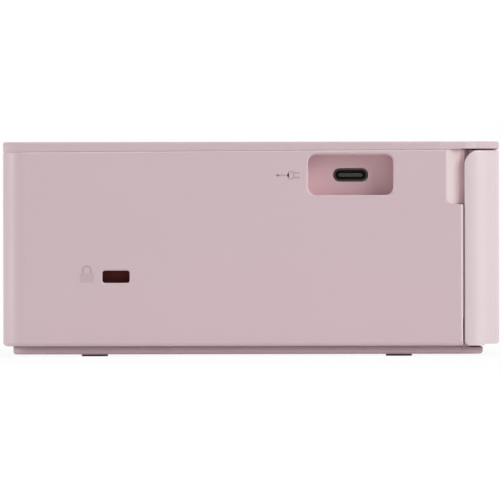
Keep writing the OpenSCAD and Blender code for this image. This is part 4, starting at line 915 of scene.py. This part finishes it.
class PRINTER_OT_chip_pins(bpy.types.Operator):
    """Set the pins round the chips of the main board"""
    bl_idname = "printer.chip_pins"
    bl_label = "Chip Pins"

    def execute(self, context):
        look = context.scene.printer_board
        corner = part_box("main_board")[0]
        top = corner.z + BOARD_THICKNESS
        # one pin: a shoulder out of the chip, bent down to a foot on the board
        shoulder, thickness, height, foot = 0.4 * MM, 0.12 * MM, 0.5 * MM, 0.45 * MM
        nearly = 0.001 * MM
        bpy.ops.mesh.primitive_cube_add(size=1)
        pin = context.object
        edit(pin)
        bpy.ops.transform.resize(value=(shoulder, look.pin_width, thickness))
        bpy.ops.transform.translate(value=(shoulder / 2, 0, height))
        for step in ((shoulder / 2, 0, thickness / 2 - height), (foot, 0, 0)):
            net = bmesh.from_edit_mesh(pin.data)
            reach = max(face.calc_center_median().x for face in net.faces)
            select_faces(pin, lambda c: c.x > reach - nearly)
            bpy.ops.mesh.extrude_region_move(TRANSFORM_OT_translate={"value": step})
        bpy.ops.mesh.select_all(action="SELECT")
        bpy.ops.mesh.normals_make_consistent(inside=False)
        done()
        places = []
        for low, high, sides in CHIPS:
            middle = Vector(((low[0] + high[0]) / 2, (low[1] + high[1]) / 2)) * MM
            half = Vector((high[0] - low[0], high[1] - low[1])) * MM / 2
            chip = Matrix.Translation((corner.x + middle.x, corner.y + middle.y, top))
            for angle in sides:
                reach, width = half if angle % 180 == 0 else half.yx
                count = int((2 * width - 1 * MM) / look.pin_pitch)
                turn = Matrix.Rotation(math.radians(angle), 4, "Z")
                for i in range(count):
                    row = Matrix.Translation((reach, (i - (count - 1) / 2) * look.pin_pitch, 0))
                    places.append(chip @ turn @ row)
        settle(copies(pin, places), "chip_pins", "chassis", FINISH["tinned pins"])
        return {"FINISHED"}


class PRINTER_OT_cassette_grip(bpy.types.Operator):
    """Set the grip ridges and the arrow on the end of the ribbon cassette"""
    bl_idname = "printer.cassette_grip"
    bl_label = "Cassette Grip"

    def execute(self, context):
        look = context.scene.printer_trim
        end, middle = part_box("cassette_frame")[1].x, middle_of("cassette_frame")
        pitch = 1.8 * MM
        ridge = small_block((2 * look.ridge_height, 0.7 * MM, 3.6 * MM), 0.2 * MM, 3)
        places = [Matrix.Translation((end, middle.y + i * pitch, middle.z)) for i in range(-6, 7)]
        settle(copies(ridge, places), "grip_ridges", "chassis",
               FINISH["cassette grey"])
        # arrow towards the lever side
        wall = end - 2.0 * MM
        arrow = [flat_triangle(1.7, (2.4, 0)), flat_bar(4.2, 1.1, (-0.4, 0))]
        print_symbol("cassette_arrow", arrow,
                     facing("right", (wall, middle.y + 5 * MM, middle.z + 6.5 * MM)),
                     finish="cassette mark")
        return {"FINISHED"}


class PRINTER_OT_shaft_clips(bpy.types.Operator):
    """Set the retaining clips on the ends of the shafts"""
    bl_idname = "printer.shaft_clips"
    bl_label = "Shaft Clips"

    def execute(self, context):
        look = context.scene.printer_trim
        # the platen's shaft stands out of both frame plates by a stub
        left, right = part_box("platen_shaft")
        stub, gap = 1 * MM, 0.12 * MM
        plates = {-1: left.x + stub, 1: right.x - stub}
        away = gap + look.clip_thickness / 2
        width = look.clip_width / MM
        for name, node_name, body, radius, ends in (
                ("platen_clips", "platen_shaft", "platen", 2.0, (-1, 1)),
                ("pinch_clips", "pinch_roller", "pinch_roller", 1.5, (-1, 1)),
                ("grip_clip", "grip_roller", "grip_roller", 2.0, (1,))):
            middle = middle_of(node_name)
            clip = flat_ring(radius + width, width - 0.02, gap=(55, 125))
            thicken(clip, look.clip_thickness, 0)
            edge = clip.modifiers.new("edges", "BEVEL")
            edge.width = 0.08 * MM
            edge.segments = 2
            bpy.ops.object.modifier_apply(modifier=edge.name)
            places = [facing("right", (plates[end] + end * away, middle.y, middle.z)) for end in ends]
            settle(copies(clip, places), name, body, FINISH["steel"])
        return {"FINISHED"}


class PRINTER_OT_cover_gasket(bpy.types.Operator):
    """Lay the thin gasket between the housing and the top cover"""
    bl_idname = "printer.cover_gasket"
    bl_label = "Cover Gasket"

    def execute(self, context):
        look = context.scene.printer_trim
        low, high = CAD_BOX
        width, depth = high.x - low.x, high.y - low.y
        rear_radius, band_width, thickness = 6.4 * MM, 1.2 * MM, 0.08 * MM
        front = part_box("card_socket")[0].y + 0.5 * MM
        # band round the outline with round rear corners, in the seam's slanting plane
        bpy.ops.mesh.primitive_plane_add(size=1)
        band = context.object
        edit(band)
        bpy.ops.transform.resize(value=(width, depth, 1))
        bpy.ops.mesh.select_all(action="DESELECT")
        bpy.ops.mesh.select_mode(type="VERT")
        net = bmesh.from_edit_mesh(band.data)
        for corner in net.verts:
            corner.select_set(corner.co.y > 0)
        bmesh.update_edit_mesh(band.data)
        bpy.ops.mesh.bevel(offset=rear_radius, segments=12, affect="VERTICES")
        bpy.ops.mesh.select_mode(type="FACE")
        bpy.ops.mesh.select_all(action="SELECT")
        bpy.ops.mesh.inset(thickness=band_width)
        bpy.ops.mesh.delete(type="FACE")
        bpy.ops.mesh.select_all(action="SELECT")
        bpy.ops.mesh.bisect(plane_co=(0, front, 0), plane_no=(0, 1, 0), clear_inner=True)
        done()
        thicken(band, thickness, 0)
        slope = math.atan(look.seam_rise / depth)
        place = Matrix.Translation((0, 0, look.seam_height)) @ Matrix.Rotation(-slope, 4, "X")
        apply_place(band, place)
        # the gasket's pale pink is painted light in the shade of the seam
        settle(band, "cover_gasket", "chassis", FINISH["lip"])
        return {"FINISHED"}


class PRINTER_OT_door_lips(bpy.types.Operator):
    """Set the lips behind the door's upper corners, and thin strips on the housing's front edge that
    carry painted shade and painted light
    """
    bl_idname = "printer.door_lips"
    bl_label = "Door Lips"

    def execute(self, context):
        look = context.scene.printer_trim
        side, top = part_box("front_frame")[1].x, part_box("front_frame")[1].z
        width, height = 0.9 * MM, 14 * MM
        # the lips' pale pink is painted light in the shade behind the door's upper corners
        lip = small_block((width, look.lip_reach + 0.05 * MM, height), 0.25 * MM, 3)
        places = both_sides(side - 1.35 * MM, frame_face() - look.lip_reach / 2,
                            top - 0.1 * MM - height / 2)
        settle(copies(lip, places), "door_lips", "chassis", FINISH["lip"])
        # thin strips on the housing's front edge: below the finger notches they carry painted shade, the
        # dark red of the gap, and in the notches painted light, the pale pink of the lit notch
        outside, front = CAD_BOX[1].x, housing_front() - 0.12 * MM
        for name, inset, low, high, tone in (
                ("door_seals", 0.8 * MM, 10.5 * MM, 40.5 * MM, "seal"),
                ("notch_seals", 2.9 * MM, 40.9 * MM, 54.9 * MM, "notch seal")):
            seal = small_block((width, 0.36 * MM, high - low), 0.06 * MM, 2)
            places = both_sides(outside - inset, front, (low + high) / 2)
            settle(copies(seal, places), name, "chassis", FINISH[tone])
        return {"FINISHED"}


# Stage

WHITE = (1, 1, 1, 1)
# Lamps: place, size, and the setting that holds the power
LAMPS = {
    "front lamp": ((-0.90, -1.29, 0.66), (1.0, 0.88), "front_level"),
    "rear lamp": ((-0.27, 1.15, 0.30), (0.5, 0.5), "rear_level"),
    "top lamp": ((-0.1, -0.1, 1.2), (1.0, 1.0), "top_level"),
}


def area_lamp(name, place, aim, size, power):
    data = bpy.data.lights.new(name, "AREA")
    data.shape = "RECTANGLE"
    data.size, data.size_y = size
    data.energy = power
    lamp = bpy.data.objects.new(name, data)
    bpy.context.scene.collection.objects.link(lamp)
    lamp.location = place
    lamp.rotation_euler = (Vector(aim) - Vector(place)).to_track_quat("-Z", "Y").to_euler()


def seen_share(tree):
    """One for what the camera sees, straight or in gloss and glass, and zero for light that lands."""
    path = node(tree, "ShaderNodeLightPath").outputs
    share = worked(tree, "MAXIMUM", path["Is Camera Ray"], path["Is Glossy Ray"])
    return worked(tree, "MAXIMUM", share, path["Is Transmission Ray"])


def blend_shaders(tree, output, share, under, over):
    """Feeds an output node with two shaders, the second one as far as the share says."""
    blend = node(tree, "ShaderNodeMixShader", share, under, over)
    fill(tree.nodes[output], {"Surface": blend.outputs["Shader"]})


def pale_floor():
    """Pale, with a soft shadow round the object, and plain white further out."""
    tree, shader = new_finish("pale floor")
    fill(shader, {"Base Color": (0.92, 0.92, 0.92, 1), "Roughness": 0.9, "Specular IOR Level": 0.1})
    glow = node(tree, "ShaderNodeEmission", Color=WHITE)
    away = node(tree, "ShaderNodeVectorMath", object_place(tree), operation="LENGTH")
    near, far = 0.12, 0.5
    white = remap(tree, away.outputs["Value"], (near, far), (0.92, 1.0), "SMOOTHSTEP")
    share = worked(tree, "MULTIPLY", seen_share(tree), white)
    blend_shaders(tree, "Material Output", share, shader.outputs["BSDF"], glow.outputs["Emission"])
    return FINISH["pale floor"]


def white_studio(level):
    """Even light from all round, plain white to the camera."""
    world = bpy.data.worlds.new("white studio")
    world.use_nodes = True
    tree = world.node_tree
    sky = tree.nodes["Background"]
    fill(sky, {"Color": WHITE, "Strength": level})
    white = node(tree, "ShaderNodeBackground", Color=WHITE, Strength=1.0)
    blend_shaders(tree, "World Output", seen_share(tree), sky.outputs["Background"],
                  white.outputs["Background"])
    return world


class PRINTER_OT_stage(bpy.types.Operator):
    """Set the floor, lamps, sky and camera"""
    bl_idname = "printer.stage"
    bl_label = "Set the Stage"

    def execute(self, context):
        look = context.scene.printer_stage
        scene = context.scene
        low, high = CAD_BOX
        middle = (low + high) / 2

        deselect_everything()
        bpy.ops.mesh.primitive_plane_add(size=look.floor_size, location=(0, 0, low.z))
        floor = context.object
        floor.name = "floor"
        apply_place(floor)
        floor.data.materials.append(pale_floor())

        scene.world = white_studio(look.sky_level)
        for name, (place, size, level) in LAMPS.items():
            area_lamp(name, place, middle, size, getattr(look, level))

        # camera: level with the middle of the left side, far off with a long lens
        data = bpy.data.cameras.new("camera")
        data.sensor_width = 36
        data.lens = data.sensor_width * look.camera_distance / look.frame_width
        data.clip_end = 20
        camera = bpy.data.objects.new("camera", data)
        scene.collection.objects.link(camera)
        aim = Vector((low.x, *look.camera_aim))
        camera.location = Vector((low.x - look.camera_distance, aim.y, look.camera_height))
        sight = (aim - camera.location).to_track_quat("-Z", "Y").to_matrix()
        camera.rotation_mode = "QUATERNION"
        camera.rotation_quaternion = (sight @ Matrix.Rotation(look.camera_roll, 3, "Z")).to_quaternion()
        scene.camera = camera
        scene.view_settings.view_transform = "Standard"
        return {"FINISHED"}


class PRINTER_PT_dressing(bpy.types.Panel):
    """Lists the printer's pieces and settings"""
    bl_idname = "PRINTER_PT_dressing"
    bl_label = "Photo Printer"
    bl_space_type = "VIEW_3D"
    bl_region_type = "UI"
    bl_category = "Photo Printer"

    def draw(self, context):
        layout = self.layout
        for operator in OPERATORS:
            layout.operator(operator.bl_idname)
        for name in GROUPS:
            box = layout.box()
            group = getattr(context.scene, name)
            for key in group.bl_rna.properties.keys():
                if key not in ("rna_type", "name"):
                    box.prop(group, key)


OPERATORS = (
    PRINTER_OT_finish_cad, PRINTER_OT_side_symbols, PRINTER_OT_key_symbols, PRINTER_OT_port_symbols,
    PRINTER_OT_port_contacts, PRINTER_OT_chip_pins, PRINTER_OT_cassette_grip, PRINTER_OT_shaft_clips,
    PRINTER_OT_cover_gasket, PRINTER_OT_door_lips, PRINTER_OT_stage)
GROUPS = {
    "printer_finish": FinishSettings, "printer_symbols": SymbolSettings, "printer_port": PortSettings,
    "printer_board": BoardSettings, "printer_trim": TrimSettings, "printer_stage": StageSettings}
CLASSES = (*GROUPS.values(), *OPERATORS, PRINTER_PT_dressing)


def register():
    for item in CLASSES:
        bpy.utils.register_class(item)
    for name, group in GROUPS.items():
        setattr(bpy.types.Scene, name, bpy.props.PointerProperty(type=group))


def unregister():
    for name in GROUPS:
        delattr(bpy.types.Scene, name)
    for item in reversed(CLASSES):
        bpy.utils.unregister_class(item)


def main():
    register()
    bpy.ops.printer.finish_cad()
    bpy.ops.printer.side_symbols()
    bpy.ops.printer.key_symbols()
    bpy.ops.printer.port_symbols()
    bpy.ops.printer.port_contacts()
    bpy.ops.printer.chip_pins()
    bpy.ops.printer.cassette_grip()
    bpy.ops.printer.shaft_clips()
    bpy.ops.printer.cover_gasket()
    bpy.ops.printer.door_lips()
    bpy.ops.printer.stage()


if __name__ == "__main__":
    main()
